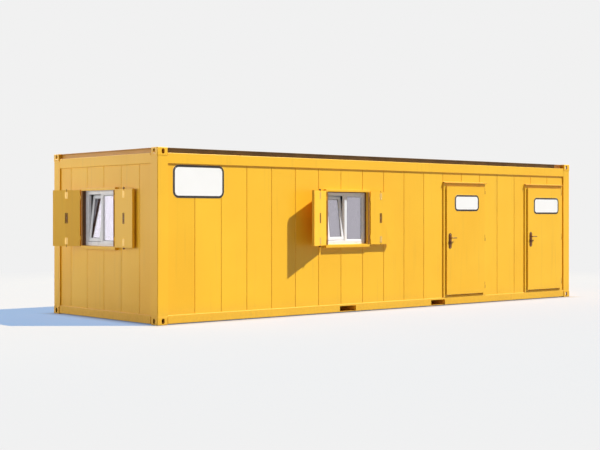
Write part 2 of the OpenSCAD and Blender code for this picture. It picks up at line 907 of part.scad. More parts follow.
// Long plate with round ends, a bore for the neck and a raised key cylinder
module handle_plate() {
    middle = handle_plate_h / 2 - handle_plate_low;
    color(handle_brown) at_spindle() on_both_faces() difference() {
        union() {
            translate([0, middle, 0]) rotate([0, 0, 90])
                slot(handle_plate_h, handle_plate_w, handle_plate_t);
            translate([0, -key_drop, 0]) cylinder(r = key_r, h = handle_plate_t + key_out);
        }
        translate([0, 0, -cut]) cylinder(r = lever_neck_r + pin_clear, h = handle_plate_t + 2 * cut);
    }
}

module door_1_handle_plate() {
    at_door(door_1_x) handle_plate();
}

module door_2_handle_plate() {
    at_door(door_2_x) handle_plate();
}

// Quarter bend of a lever, from straight up to straight along +X
module lever_elbow() {
    rotate([90, 0, 0]) rotate([0, 0, 90]) rotate_extrude(angle = 90)
        translate([lever_bend, 0]) circle(lever_r);
}

// Neck through the plate, a bar toward the hinges and an end turned back to
// the door
module lever_arm() {
    bend_z = handle_plate_t + lever_out - lever_bend;
    translate([0, 0, seat_clear]) cylinder(r = lever_neck_r, h = bend_z - seat_clear);
    translate([lever_bend, 0, bend_z]) lever_elbow();
    translate([lever_bend, 0, bend_z + lever_bend]) rotate([0, 90, 0])
        cylinder(r = lever_r, h = lever_l - 2 * lever_bend);
    translate([lever_l - lever_bend, 0, bend_z]) mirror([1, 0, 0]) lever_elbow();
    translate([lever_l, 0, bend_z]) sphere(r = lever_r);
}

// The two arms of a lever set, on the spindle that joins them through the leaf
module lever() {
    color(handle_brown) at_spindle() {
        on_both_faces() lever_arm();
        translate([0, 0, -door_leaf_t - handle_plate_t])
            cylinder(r = spindle_r, h = door_leaf_t + 2 * handle_plate_t);
    }
}

module door_1_lever() {
    at_door(door_1_x) lever();
}

module door_2_lever() {
    at_door(door_2_x) lever();
}

module surround_hinges() {
    for (side = [-1, 1], z = shutter_hinge_levels) at_shutter(side, 0) translate([0, 0, z]) {
        hinge_lower(shutter_barrel_r, shutter_hinge_h);
        translate([shutter_side_gap - wing_t, 0, 0])
            cube([wing_t, shutter_wing, (shutter_hinge_h - seat_clear) / 2]);
    }
}

module shutter_hinge_pins() {
    color(cabin_yellow) {
        at_front_window() surround_hinges();
        at_end_window() surround_hinges();
    }
}

// Boxed leaf with hinge straps, a handle recess and two bolt guides that are
// open toward the room when the leaf is closed
module shutter_leaf() {
    guide = bolt_r + seat_clear;
    strap_y = -shutter_strap_t - shutter_strap_set;
    color(cabin_yellow) {
        difference() {
            translate([leaf_start, -leaf_t, leaf_z0]) linear_extrude(leaf_z1 - leaf_z0)
                folded_outline(leaf_end - leaf_start, leaf_t, leaf_round);
            translate([leaf_mid - recess_w / 2, -recess_d, leaf_zm - recess_h / 2])
                cube([recess_w, recess_d + cut, recess_h]);
            for (z = [leaf_z0 - cut, leaf_z1 - bolt_guide])
                translate([leaf_mid - guide, bolt_y - guide, z])
                    cube([2 * guide, cut, bolt_guide + cut]);
        }
        for (z = shutter_hinge_levels) translate([0, 0, z])
            hinge_upper(shutter_barrel_r, shutter_hinge_h, leaf_start, strap_y, shutter_strap_t);
    }
}

// Turning grip on a pivot in its recess, and a bolt in each guide
module shutter_lock() {
    color(bolt_black) {
        translate([leaf_mid, 0, leaf_zm]) {
            rotate([90, 90, 0])
                slot(recess_h - 2 * grip_margin, recess_w - 2 * grip_margin, grip_t);
            rotate([90, 0, 0]) cylinder(r = grip_pivot_r, h = recess_d);
        }
        for (z = [leaf_z0 - bolt_reach, leaf_z1 - bolt_guide + seat_clear])
            translate([leaf_mid, bolt_y, z])
                cylinder(r = bolt_r, h = bolt_guide + bolt_reach - seat_clear);
    }
}

module front_left_shutter() {
    at_front_window() at_shutter(-1, front_left_open) shutter_leaf();
}

module front_left_shutter_lock() {
    at_front_window() at_shutter(-1, front_left_open) shutter_lock();
}

module front_right_shutter() {
    at_front_window() at_shutter(1, front_right_open) shutter_leaf();
}

module front_right_shutter_lock() {
    at_front_window() at_shutter(1, front_right_open) shutter_lock();
}

module end_left_shutter() {
    at_end_window() at_shutter(-1, end_left_open) shutter_leaf();
}

module end_left_shutter_lock() {
    at_end_window() at_shutter(-1, end_left_open) shutter_lock();
}

module end_right_shutter() {
    at_end_window() at_shutter(1, end_right_open) shutter_leaf();
}

module end_right_shutter_lock() {
    at_end_window() at_shutter(1, end_right_open) shutter_lock();
}

bottom_corner_castings();
top_corner_castings();
corner_posts();
long_bottom_rails();
end_bottom_rails();
long_top_rails();
end_top_rails();
fork_pockets();
floor_joists();
floor_deck();
front_wall_left();
front_wall_over_doors();
front_wall_beside_doors();
rear_wall();
left_end_wall();
right_end_wall();
ceiling_panel();
roof_sheet();
roof_edge();
front_shutter_surround();
end_shutter_surround();
front_window_frame();
end_window_frame();
front_window_sash();
end_window_sash();
front_window_glass();
end_window_glass();
door_1_frame();
door_2_frame();
door_drip_caps();
door_hinge_pins();
shutter_hinge_pins();
door_1_leaf();
door_1_handle_plate();
door_1_lever();
door_2_leaf();
door_2_handle_plate();
door_2_lever();
front_left_shutter();
front_left_shutter_lock();
front_right_shutter();
front_right_shutter_lock();
end_left_shutter();
end_left_shutter_lock();
end_right_shutter();
end_right_shutter_lock();
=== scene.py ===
"""Looks of a portable site cabin: finishes, fittings, bare sign plates and a studio."""
from __future__ import annotations

import json
import logging
import math
from dataclasses import dataclass, field
from enum import Enum
from typing import Sequence

import bmesh
import bpy
from mathutils import Matrix, Vector

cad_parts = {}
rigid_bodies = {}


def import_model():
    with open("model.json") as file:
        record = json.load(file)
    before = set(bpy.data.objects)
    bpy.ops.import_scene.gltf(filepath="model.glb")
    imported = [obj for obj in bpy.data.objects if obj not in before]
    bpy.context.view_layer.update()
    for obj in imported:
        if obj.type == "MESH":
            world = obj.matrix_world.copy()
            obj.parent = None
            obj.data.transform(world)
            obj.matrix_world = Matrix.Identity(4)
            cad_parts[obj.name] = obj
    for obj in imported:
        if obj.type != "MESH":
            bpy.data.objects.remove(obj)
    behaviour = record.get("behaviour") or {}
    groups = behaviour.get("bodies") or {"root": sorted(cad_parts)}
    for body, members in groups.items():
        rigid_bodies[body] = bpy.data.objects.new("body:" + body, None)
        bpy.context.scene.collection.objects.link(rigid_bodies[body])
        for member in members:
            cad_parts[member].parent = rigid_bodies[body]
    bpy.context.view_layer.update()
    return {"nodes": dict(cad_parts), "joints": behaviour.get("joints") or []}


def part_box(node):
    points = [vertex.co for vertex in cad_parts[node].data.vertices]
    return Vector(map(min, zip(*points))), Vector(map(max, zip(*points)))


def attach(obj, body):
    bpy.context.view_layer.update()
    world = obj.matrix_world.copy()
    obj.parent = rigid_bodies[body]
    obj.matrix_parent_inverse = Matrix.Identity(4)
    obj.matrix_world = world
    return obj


for leftover in list(bpy.data.objects):
    bpy.data.objects.remove(leftover, do_unlink=True)
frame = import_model()

LOG = logging.getLogger("site_cabin")
IMAGE_WIDTH = 600
MM = 0.001
# Gaps that keep two faces from lying in one plane.
HAIR = 0.1 * MM
GAP = 0.2 * MM
# Edges that turn by more than the first angle are softened; past the second they are shaded as sharp.
SOFT_ANGLE = math.radians(40)
SHARP_ANGLE = math.radians(50)
# Corners within the gap are one corner, and faces within the angle are one face.
FACET_GAP = 0.01 * MM
FLAT_ANGLE = math.radians(0.5)

Socket = bpy.types.NodeSocket
Tree = bpy.types.NodeTree
Point = tuple[float, float, float]
Span = tuple[float, float]
Outline = list[Span]


def linear(code: str) -> tuple[float, float, float, float]:
    """Turns an sRGB hex value into a linear colour.

    Args:
        code: Colour such as "#F2B01E".

    Returns:
        Linear red, green, blue and an alpha of 1.
    """
    parts = [int(code[i:i + 2], 16) / 255 for i in (1, 3, 5)]
    red, green, blue = [p / 12.92 if p <= 0.04045 else ((p + 0.055) / 1.055) ** 2.4 for p in parts]
    return red, green, blue, 1.0


def waves(size_mm: float) -> float:
    """Returns the scale of a pattern whose features are this many millimetres across."""
    return 1000.0 / size_mm


def ends(side: str, span: Span) -> dict:
    """Returns the two ends of a range as inputs of a node that maps one range to another."""
    return {f"{side} Min": span[0], f"{side} Max": span[1]}


def feed(tree: Tree, node: bpy.types.Node, inputs: dict) -> None:
    """Sets a node's inputs.

    Args:
        tree: Node tree that holds the node.
        node: Node to feed.
        inputs: Values or output sockets, by the input's name or index.
    """
    for name, value in inputs.items():
        if isinstance(value, Socket):
            tree.links.new(value, node.inputs[name])
        else:
            node.inputs[name].default_value = value


def add_node(tree: Tree, kind: str, inputs: dict | None = None, out: str | int = 0,
             **settings) -> Socket:
    """Adds one shader node with its settings and links.

    Args:
        tree: Node tree that takes the node.
        kind: Name of the node's type after the ShaderNode prefix.
        inputs: Values or output sockets, by the input's name or index.
        out: Name or index of the output that is wanted.
        settings: Properties of the node itself.

    Returns:
        The wanted output socket.
    """
    node = tree.nodes.new("ShaderNode" + kind)
    for name, value in settings.items():
        setattr(node, name, value)
    feed(tree, node, inputs or {})
    return node.outputs[out]


@dataclass(frozen=True)
class Layer:
    """The sockets that one coat gives: colour, roughness and surface height in metres."""

    colour: Socket
    roughness: Socket
    height: Socket


@dataclass(frozen=True)
class Finish:
    """A finish that builds its material once, under its own name."""

    name: str

    def layer(self, tree: Tree, place: Socket) -> Layer:
        """Builds the coat.

        Args:
            tree: The material's node tree.
            place: Position in the cabin's frame, in metres.

        Returns:
            The coat's sockets.
        """
        raise NotImplementedError

    def constants(self) -> dict:
        """Returns the shader's values that are the same all over the surface."""
        return {}

    def material(self) -> bpy.types.Material:
        """Builds the finish's material on the first call and finds it again after that.

        Returns:
            The material.
        """
        found = bpy.data.materials.get(self.name)
        if found:
            return found
        made = bpy.data.materials.new(self.name)
        made.use_nodes = True
        tree = made.node_tree
        coat = self.layer(tree, add_node(tree, "TexCoord", out="Object"))
        normal = add_node(tree, "Bump", {"Height": coat.height, "Distance": 1.0, "Strength": 1.0})
        feed(tree, tree.nodes["Principled BSDF"],
             {"Base Color": coat.colour, "Roughness": coat.roughness, "Normal": normal,
              **self.constants()})
        return made


@dataclass(frozen=True)
class SprayedEnamel(Finish):
    """Enamel sprayed on folded steel: full colour, soft gloss, orange peel, and a foot darkened by splash
    dust and painted shade.
    """

    colour: str = "#F8C22B"
    deep: str = "#F0B421"
    # The dust tone also serves as painted shade at the foot.
    dust: str = "#94703A"
    cloud_mm: float = 1100.0
    batch_share: float = 0.35
    tone_span: Span = (0.3, 1.05)
    streak_mm: float = 70.0
    streak_squeeze: float = 0.05
    streak_span: Span = (0.58, 0.8)
    streak_share: float = 0.10
    foot_speck_mm: float = 45.0
    foot_dust_and_shade_top: float = 0.35
    foot_dust_and_shade_share: float = 0.40
    peel_mm: float = 16.0
    peel_share: float = 0.12
    sheet_wave_mm: float = 650.0
    wave_height: float = 0.9 * MM
    cloud_span: Span = (0.3, 0.7)
    roughness: Span = (0.34, 0.46)
    dust_roughness: float = 1.2

    def layer(self, tree: Tree, place: Socket) -> Layer:
        """Clouds the colour a little, streaks it with rain, darkens its foot with dust and painted shade,
        and gives it orange peel.

        Args:
            tree: The material's node tree.
            place: Position in the cabin's frame, in metres.

        Returns:
            The coat's sockets.
        """
        cloud = add_node(tree, "TexNoise", {"Vector": place, "Scale": waves(self.cloud_mm),
                                            "Detail": 3.0})
        island = add_node(tree, "NewGeometry", out="Random Per Island")
        # Each sheet comes from its own batch, so neighbouring panels differ by a breath of colour.
        batch = add_node(tree, "Math", {0: island, 1: self.batch_share, 2: cloud},
                         operation="MULTIPLY_ADD")
        tone = add_node(tree, "MapRange", {"Value": batch, **ends("From", self.tone_span)})
        body = add_node(tree, "Mix", {0: tone, 6: linear(self.colour), 7: linear(self.deep)}, 2,
                        data_type="RGBA")
        # Rain leaves long upright streaks, drawn wider than real ones so that they show.
        upright = add_node(tree, "Mapping", {"Vector": place, "Scale": (1.0, 1.0, self.streak_squeeze)})
        streak = add_node(tree, "TexNoise", {"Vector": upright, "Scale": waves(self.streak_mm),
                                             "Detail": 2.0})
        run = add_node(tree, "MapRange", {"Value": streak, **ends("From", self.streak_span),
                                          "To Max": self.streak_share})
        rained = add_node(tree, "Mix", {0: run, 6: body, 7: linear(self.dust)}, 2, data_type="RGBA")
        # Towards the foot the coat darkens: partly splash dust, partly painted shade of the ground beside
        # it.
        height = add_node(tree, "SeparateXYZ", {0: place}, "Z")
        low = add_node(tree, "MapRange", {"Value": height, **ends("From", (0.0, self.foot_dust_and_shade_top)),
                                          **ends("To", (self.foot_dust_and_shade_share, 0.0))},
                       interpolation_type="SMOOTHSTEP")
        speck = add_node(tree, "TexNoise", {"Vector": place, "Scale": waves(self.foot_speck_mm),
                                            "Detail": 5.0, "Roughness": 0.65})
        foot_dust_and_shade = add_node(tree, "Math", {0: low, 1: speck}, operation="MULTIPLY")
        dusty_and_shaded = add_node(tree, "Mix", {0: foot_dust_and_shade, 6: rained, 7: linear(self.dust)}, 2, data_type="RGBA")
        # Real orange peel is 2 to 3 mm across; it is drawn coarser so that it shows.
        peel, wave = [add_node(tree, "TexNoise", {"Vector": place, "Scale": waves(size), "Detail": 1.0})
                      for size in (self.peel_mm, self.sheet_wave_mm)]
        both = add_node(tree, "Math", {0: peel, 1: self.peel_share, 2: wave}, operation="MULTIPLY_ADD")
        relief = add_node(tree, "Math", {0: both, 1: self.wave_height}, operation="MULTIPLY")
        rough = add_node(tree, "MapRange", {"Value": cloud, **ends("From", self.cloud_span),
                                            **ends("To", self.roughness)})
        worn = add_node(tree, "Math", {0: foot_dust_and_shade, 1: self.dust_roughness, 2: rough},
                        operation="MULTIPLY_ADD")
        return Layer(dusty_and_shaded, worn, relief)


@dataclass(frozen=True)
class CoilCoat(Finish):
    """Polyester coil coat on inner steel sheet: off-white, even and nearly matt, with a fine pebble."""

    colour: str = "#E6E5DF"
    shade: str = "#D9D7CE"
    cloud_mm: float = 800.0
    pebble_mm: float = 14.0
    pebble_height: float = 0.3 * MM
    roughness: Span = (0.42, 0.58)

    def layer(self, tree: Tree, place: Socket) -> Layer:
        """Clouds two near tones over a pebble.

        Args:
            tree: The material's node tree.
            place: Position in the cabin's frame, in metres.

        Returns:
            The coat's sockets.
        """
        cloud = add_node(tree, "TexNoise", {"Vector": place, "Scale": waves(self.cloud_mm),
                                            "Detail": 3.0})
        colour = add_node(tree, "Mix", {0: cloud, 6: linear(self.colour), 7: linear(self.shade)}, 2,
                          data_type="RGBA")
        # The stucco pebble is about 4 mm across; it is drawn coarser so that it shows.
        pebble = add_node(tree, "TexVoronoi", {"Vector": place, "Scale": waves(self.pebble_mm)},
                          feature="SMOOTH_F1")
        relief = add_node(tree, "Math", {0: pebble, 1: self.pebble_height}, operation="MULTIPLY")
        rough = add_node(tree, "MapRange", {"Value": cloud, **ends("To", self.roughness)})
        return Layer(colour, rough, relief)


@dataclass(frozen=True)
class MottledCoat(Finish):
    """A rolled or brushed coating: two tones that cloud into each other over a grainy, dull surface."""

    light: str
    dark: str
    cloud_mm: float = 400.0
    grain_mm: float = 9.0
    roughness: Span = (0.5, 0.7)
    grain_height: float = 0.6 * MM
    patch_span: Span = (0.35, 0.65)

    def layer(self, tree: Tree, place: Socket) -> Layer:
        """Clouds the two tones over a grain.

        Args:
            tree: The material's node tree.
            place: Position in the cabin's frame, in metres.

        Returns:
            The coat's sockets.
        """
        cloud = add_node(tree, "TexNoise", {"Vector": place, "Scale": waves(self.cloud_mm),
                                            "Detail": 6.0})
        patch = add_node(tree, "MapRange", {"Value": cloud, **ends("From", self.patch_span)})
        colour = add_node(tree, "Mix", {0: patch, 6: linear(self.light), 7: linear(self.dark)}, 2,
                          data_type="RGBA")
        grain = add_node(tree, "TexNoise", {"Vector": place, "Scale": waves(self.grain_mm),
                                            "Detail": 3.0})
        rough = add_node(tree, "MapRange", {"Value": grain, **ends("To", self.roughness)})
        relief = add_node(tree, "Math", {0: grain, 1: self.grain_height}, operation="MULTIPLY")
        return Layer(colour, rough, relief)


@dataclass(frozen=True)
class PartedCoat(Finish):
    """Two coats on one piece of work: one inside the given box, or its mirror images, one outside it."""

    outside: Finish
    inside: Finish
    low: Point
    high: Point
    mirrored: bool = False

    def layer(self, tree: Tree, place: Socket) -> Layer:
        """Mixes the two coats by the place on the piece.

        Args:
            tree: The material's node tree.
            place: Position in the cabin's frame, in metres.

        Returns:
            The coat's sockets.
        """
        outer = self.outside.layer(tree, place)
        inner = self.inside.layer(tree, place)
        spot = add_node(tree, "VectorMath", {0: place}, operation="ABSOLUTE") if self.mirrored else place
        within: Socket | float = 1.0
        for axis, low, high in zip("XYZ", self.low, self.high):
            value = add_node(tree, "SeparateXYZ", {0: spot}, axis)
            for limit, test in ((low, "GREATER_THAN"), (high, "LESS_THAN")):
                side = add_node(tree, "Math", {0: value, 1: limit}, operation=test)
                within = add_node(tree, "Math", {0: within, 1: side}, operation="MULTIPLY")
        colour = add_node(tree, "Mix", {0: within, 6: outer.colour, 7: inner.colour}, 2,
                          data_type="RGBA")
        pairs = ((outer.roughness, inner.roughness), (outer.height, inner.height))
        rough, relief = [add_node(tree, "Mix", {0: within, 2: far, 3: near}, data_type="FLOAT")
                         for far, near in pairs]
        return Layer(colour, rough, relief)


@dataclass(frozen=True)
class FleckedVinyl(Finish):
    """Calendered vinyl floor sheet: mid grey with pale flecks, scuffs and a low sheen."""

    base: str = "#85837D"
    fleck: str = "#B5B2A8"
    fleck_mm: float = 12.0
    fleck_span: Span = (0.7, 0.9)
    fleck_share: float = 0.7
    scuff_mm: float = 300.0
    scuff_height: float = 0.2 * MM
    roughness: Span = (0.35, 0.6)

    def layer(self, tree: Tree, place: Socket) -> Layer:
        """Scatters flecks, which are drawn coarser than the real 4 mm so that they show.

        Args:
            tree: The material's node tree.
            place: Position in the cabin's frame, in metres.

        Returns:
            The coat's sockets.
        """
        cells = add_node(tree, "TexVoronoi", {"Vector": place, "Scale": waves(self.fleck_mm)}, "Color")
        share = add_node(tree, "SeparateXYZ", {0: cells}, "X")
        spot = add_node(tree, "MapRange", {"Value": share, **ends("From", self.fleck_span),
                                           "To Max": self.fleck_share})
        colour = add_node(tree, "Mix", {0: spot, 6: linear(self.base), 7: linear(self.fleck)}, 2,
                          data_type="RGBA")
        scuff = add_node(tree, "TexNoise", {"Vector": place, "Scale": waves(self.scuff_mm),
                                            "Detail": 5.0})
        rough = add_node(tree, "MapRange", {"Value": scuff, **ends("To", self.roughness)})
        relief = add_node(tree, "Math", {0: scuff, 1: self.scuff_height}, operation="MULTIPLY")
        return Layer(colour, rough, relief)


@dataclass(frozen=True)
class MouldedPlastic(Finish):
    """Moulded or extruded plastic: even colour, a fine grain and a sheen that varies with handling."""

    colour: str
    shade: str
    grain_mm: float = 6.0
    roughness: Span = (0.24, 0.36)
    grain_height: float = 0.08 * MM
    cloud_mm: float = 240.0
    cloud_span: Span = (0.3, 0.7)

    def layer(self, tree: Tree, place: Socket) -> Layer:
        """Lays two near tones over a fine grain, drawn coarser than the real one so that it shows.

        Args:
            tree: The material's node tree.
            place: Position in the cabin's frame, in metres.

        Returns:
            The coat's sockets.
        """
        cloud = add_node(tree, "TexNoise", {"Vector": place, "Scale": waves(self.cloud_mm),
                                            "Detail": 4.0})
        colour = add_node(tree, "Mix", {0: cloud, 6: linear(self.colour), 7: linear(self.shade)}, 2,
                          data_type="RGBA")
        grain = add_node(tree, "TexNoise", {"Vector": place, "Scale": waves(self.grain_mm),
                                            "Detail": 2.0})
        rough = add_node(tree, "MapRange", {"Value": cloud, **ends("From", self.cloud_span),
                                            **ends("To", self.roughness)})
        relief = add_node(tree, "Math", {0: grain, 1: self.grain_height}, operation="MULTIPLY")
        return Layer(colour, rough, relief)


@dataclass(frozen=True)
class BareMetal(Finish):
    """Plated or drawn metal: a cloudy spangle and a brushed, uneven gloss."""

    colour: str
    shade: str
    spangle_mm: float = 9.0
    roughness: Span = (0.28, 0.46)
    metallic: float = 1.0
    brush_mm: float = 5.0
    brush_height: float = 0.05 * MM

    def layer(self, tree: Tree, place: Socket) -> Layer:
        """Lays spangle cells over a fine brushing, both drawn coarser than real ones so that they show.

        Args:
            tree: The material's node tree.
            place: Position in the cabin's frame, in metres.

        Returns:
            The coat's sockets.
        """
        cells = add_node(tree, "TexVoronoi", {"Vector": place, "Scale": waves(self.spangle_mm)}, "Color")
        share = add_node(tree, "SeparateXYZ", {0: cells}, "X")
        colour = add_node(tree, "Mix", {0: share, 6: linear(self.colour), 7: linear(self.shade)}, 2,
                          data_type="RGBA")
        brush = add_node(tree, "TexNoise", {"Vector": place, "Scale": waves(self.brush_mm),
                                            "Detail": 2.0})
        rough = add_node(tree, "MapRange", {"Value": brush, **ends("To", self.roughness)})
        relief = add_node(tree, "Math", {0: brush, 1: self.brush_height}, operation="MULTIPLY")
        return Layer(colour, rough, relief)

    def constants(self) -> dict:
        """Returns how metallic the surface is."""
        return {"Metallic": self.metallic}


@dataclass(frozen=True)
class CoatedGlass(Finish):
    """Float glass with a vapour coat: panes mirror the pale sky and let a little of the room show."""

    colour: str = "#E4DFE9"
    dust: str = "#D6D2DC"
    wave_mm: float = 420.0
    dust_mm: float = 60.0
    wave_height: float = 0.3 * MM
    dust_span: Span = (0.4, 0.8)
    roughness: Span = (0.01, 0.07)
    silver: float = 0.55
    ior: float = 1.52

    def layer(self, tree: Tree, place: Socket) -> Layer:
        """Gives the pane a faint roller wave and a film of dust.

        Args:
            tree: The material's node tree.
            place: Position in the cabin's frame, in metres.

        Returns:
            The coat's sockets.
        """
        wave = add_node(tree, "TexNoise", {"Vector": place, "Scale": waves(self.wave_mm), "Detail": 0.0})
        dust = add_node(tree, "TexNoise", {"Vector": place, "Scale": waves(self.dust_mm), "Detail": 5.0})
        tint = add_node(tree, "Mix", {0: dust, 6: linear(self.colour), 7: linear(self.dust)}, 2,
                        data_type="RGBA")
        film = add_node(tree, "MapRange", {"Value": dust, **ends("From", self.dust_span),
                                           **ends("To", self.roughness)})
        relief = add_node(tree, "Math", {0: wave, 1: self.wave_height}, operation="MULTIPLY")
        return Layer(tint, film, relief)

    def constants(self) -> dict:
        """Returns the values of glass under a half-silvered coat."""
        return {"Metallic": self.silver, "Transmission Weight": 1.0, "IOR": self.ior}


ROOM_LOW, ROOM_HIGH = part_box("ceiling_panel")
LEAF_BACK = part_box("door_1_leaf")[1].y
# How far the border of two coats is set off from a sheet's face, so that the face takes one coat.
SEAM = 2 * MM
# Footprint of a corner casting, and how far in from its faces the painted shade of its hollow starts.
CASTING = (178 * MM, 162 * MM)
CAST_SKIN = 5 * MM
# A distance past every part of the cabin.
FAR = 20.0
# Where the brown coat of the long roof edges starts and ends, along X.
EAVES = (-4.76, 4.475)
# Three plastic surfaces: grain in millimetres, range of roughness, height of the grain.
MOULDED = (4.0, (0.42, 0.58), 0.2 * MM)
EXTRUDED = (5.0, (0.6, 0.8), 0.1 * MM)
FILM = (30.0, (0.5, 0.62), 0.05 * MM)

YELLOW = SprayedEnamel("yellow enamel sprayed on folded steel")
# A darker copy of the yellow enamel, which paints the shade in the end roof trim's recess.
SHADE_DARKENED_TRIM_ENAMEL = SprayedEnamel("weathered ochre enamel sprayed on edge trim", "#D09A3A", "#C58F32")
# A darker copy of the yellow enamel that paints shade: on the door hinges and in the castings' hollows.
SHADE_DARKENED_OCHRE_ENAMEL = SprayedEnamel("ochre enamel brushed on cast hinges", "#C8921F", "#BC8618")
GRIP_ENAMEL = SprayedEnamel("brown enamel brushed on drawn steel", "#8E5F0C", "#7E510A")
# A darker copy of the yellow enamel, which paints the shade under the drip caps.
SHADE_DARKENED_CAP_ENAMEL = SprayedEnamel("yellow enamel rolled on bent aluminium", "#CF9620", "#C28A18")
LINING = CoilCoat("off-white coil coat on steel sheet")
ROOF_COAT = MottledCoat("brown plastisol coat on roof steel", "#876D44", "#6E5634")
PRIMER = MottledCoat("red oxide primer brushed on mild steel", "#74402F", "#57291F", 300.0, 12.0,
                     (0.6, 0.85))
PANEL_SKIN = PartedCoat("enamelled outer and coil coated inner sheet of a sandwich panel", YELLOW,
                        LINING, (ROOM_LOW.x - SEAM, ROOM_LOW.y - SEAM, -FAR),
                        (ROOM_HIGH.x + SEAM, ROOM_HIGH.y + SEAM, FAR))
DOOR_SKIN = PartedCoat("enamelled outer and coil coated inner sheet of a door", YELLOW, LINING,
                       (-FAR, LEAF_BACK - SEAM, -FAR), (FAR, FAR, FAR))
# The end roof edges take the shade-darkened enamel as painted shade.
EDGE_COAT = PartedCoat("brown plastisol on the long roof edges and enamel on the end ones", SHADE_DARKENED_TRIM_ENAMEL,
                       ROOF_COAT, (EAVES[0], -FAR, -FAR), (EAVES[1], FAR, FAR))
VINYL = FleckedVinyl("flecked calendered vinyl floor sheet")
UPVC = MouldedPlastic("white extruded uPVC", "#ECEDEE", "#DFE0E3")
NYLON = MouldedPlastic("dark brown moulded nylon", "#754308", "#643704", *MOULDED)
GRIP_NYLON = MouldedPlastic("olive brown moulded nylon", "#8E5F0C", "#7E510A", *MOULDED)
# These two seal colours are darker than the parts they lie on, to paint the shade of the window
# surrounds.
TAN_SEAL_AND_SHADE = MouldedPlastic("tan extruded butyl seal", "#95631F", "#845418", *EXTRUDED)
PAINTED_SHADE_SEAL = MouldedPlastic("brown extruded butyl seal", "#6B4420", "#5A3718", *EXTRUDED)
RUBBER = MouldedPlastic("black extruded EPDM rubber", "#232220", "#1A1918", *EXTRUDED)
SIGN_FACE = MouldedPlastic("white vinyl film on aluminium sheet", "#F5F5F2", "#EFEFEB", *FILM)
SIGN_EDGE = MouldedPlastic("black vinyl film on aluminium sheet", "#1B1714", "#26211D", *FILM)
ZINC = BareMetal("zinc plated rolled steel", "#C9C7C0", "#A9A69C")
ALUMINIUM = BareMetal("mill finish extruded aluminium", "#CFCFCB", "#BEBEBA", 20.0, (0.3, 0.45))
PASSIVATED = BareMetal("yellow passivated zinc plated steel", "#F3CC80", "#E9BF70", 9.0, (0.3, 0.45))
GLASS = CoatedGlass("vapour coated float glass")


def cast_coat(node: str) -> PartedCoat:
    """Makes the coat of a set of corner castings: enamel outside, and in the hollow a darker ochre that
    paints its shade.

    Args:
        node: Name of the castings' node.

    Returns:
        The finish.
    """
    low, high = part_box(node)
    start = (high.x - CASTING[0] + CAST_SKIN, high.y - CASTING[1] + CAST_SKIN, low.z + CAST_SKIN)
    end = (high.x - CAST_SKIN, high.y - CAST_SKIN, high.z - CAST_SKIN)
    return PartedCoat(f"enamel on cast steel with a brushed hollow, {node}", YELLOW, SHADE_DARKENED_OCHRE_ENAMEL, start,
                      end, True)


def even_shading(made: bpy.types.Object) -> None:
    """Keeps an object's wide faces flat to the eye beside their softened edges.

    Args:
        made: The object.
    """
    normals = made.modifiers.new("even shading", "WEIGHTED_NORMAL")
    normals.weight = 100
    normals.keep_sharp = True


def round_outline(x0: float, z0: float, x1: float, z1: float, radius: float = 0.0,
                  steps: int = 6) -> Outline:
    """Makes a rectangle with round corners.

    Args:
        x0: Left edge.
        z0: Lower edge.
        x1: Right edge.
        z1: Upper edge.
        radius: Radius of the corners, or 0 for square ones.
        steps: Chords in each corner.

    Returns:
        Corners as (x, z), in order.
    """
    if radius <= 0:
        return [(x0, z0), (x1, z0), (x1, z1), (x0, z1)]
    centres = ((x1 - radius, z0 + radius, -90), (x1 - radius, z1 - radius, 0),
               (x0 + radius, z1 - radius, 90), (x0 + radius, z0 + radius, 180))
    corners = []
    for cx, cz, start in centres:
        for k in range(steps + 1):
            angle = math.radians(start + 90 * k / steps)
            corners.append((cx + radius * math.cos(angle), cz + radius * math.sin(angle)))
    return corners


def around(x: float, z: float, half_w: float, half_h: float, radius: float = 0.0,
           steps: int = 6) -> Outline:
    """Returns a rectangle with round corners round a middle point."""
    return round_outline(x - half_w, z - half_h, x + half_w, z + half_h, radius, steps)


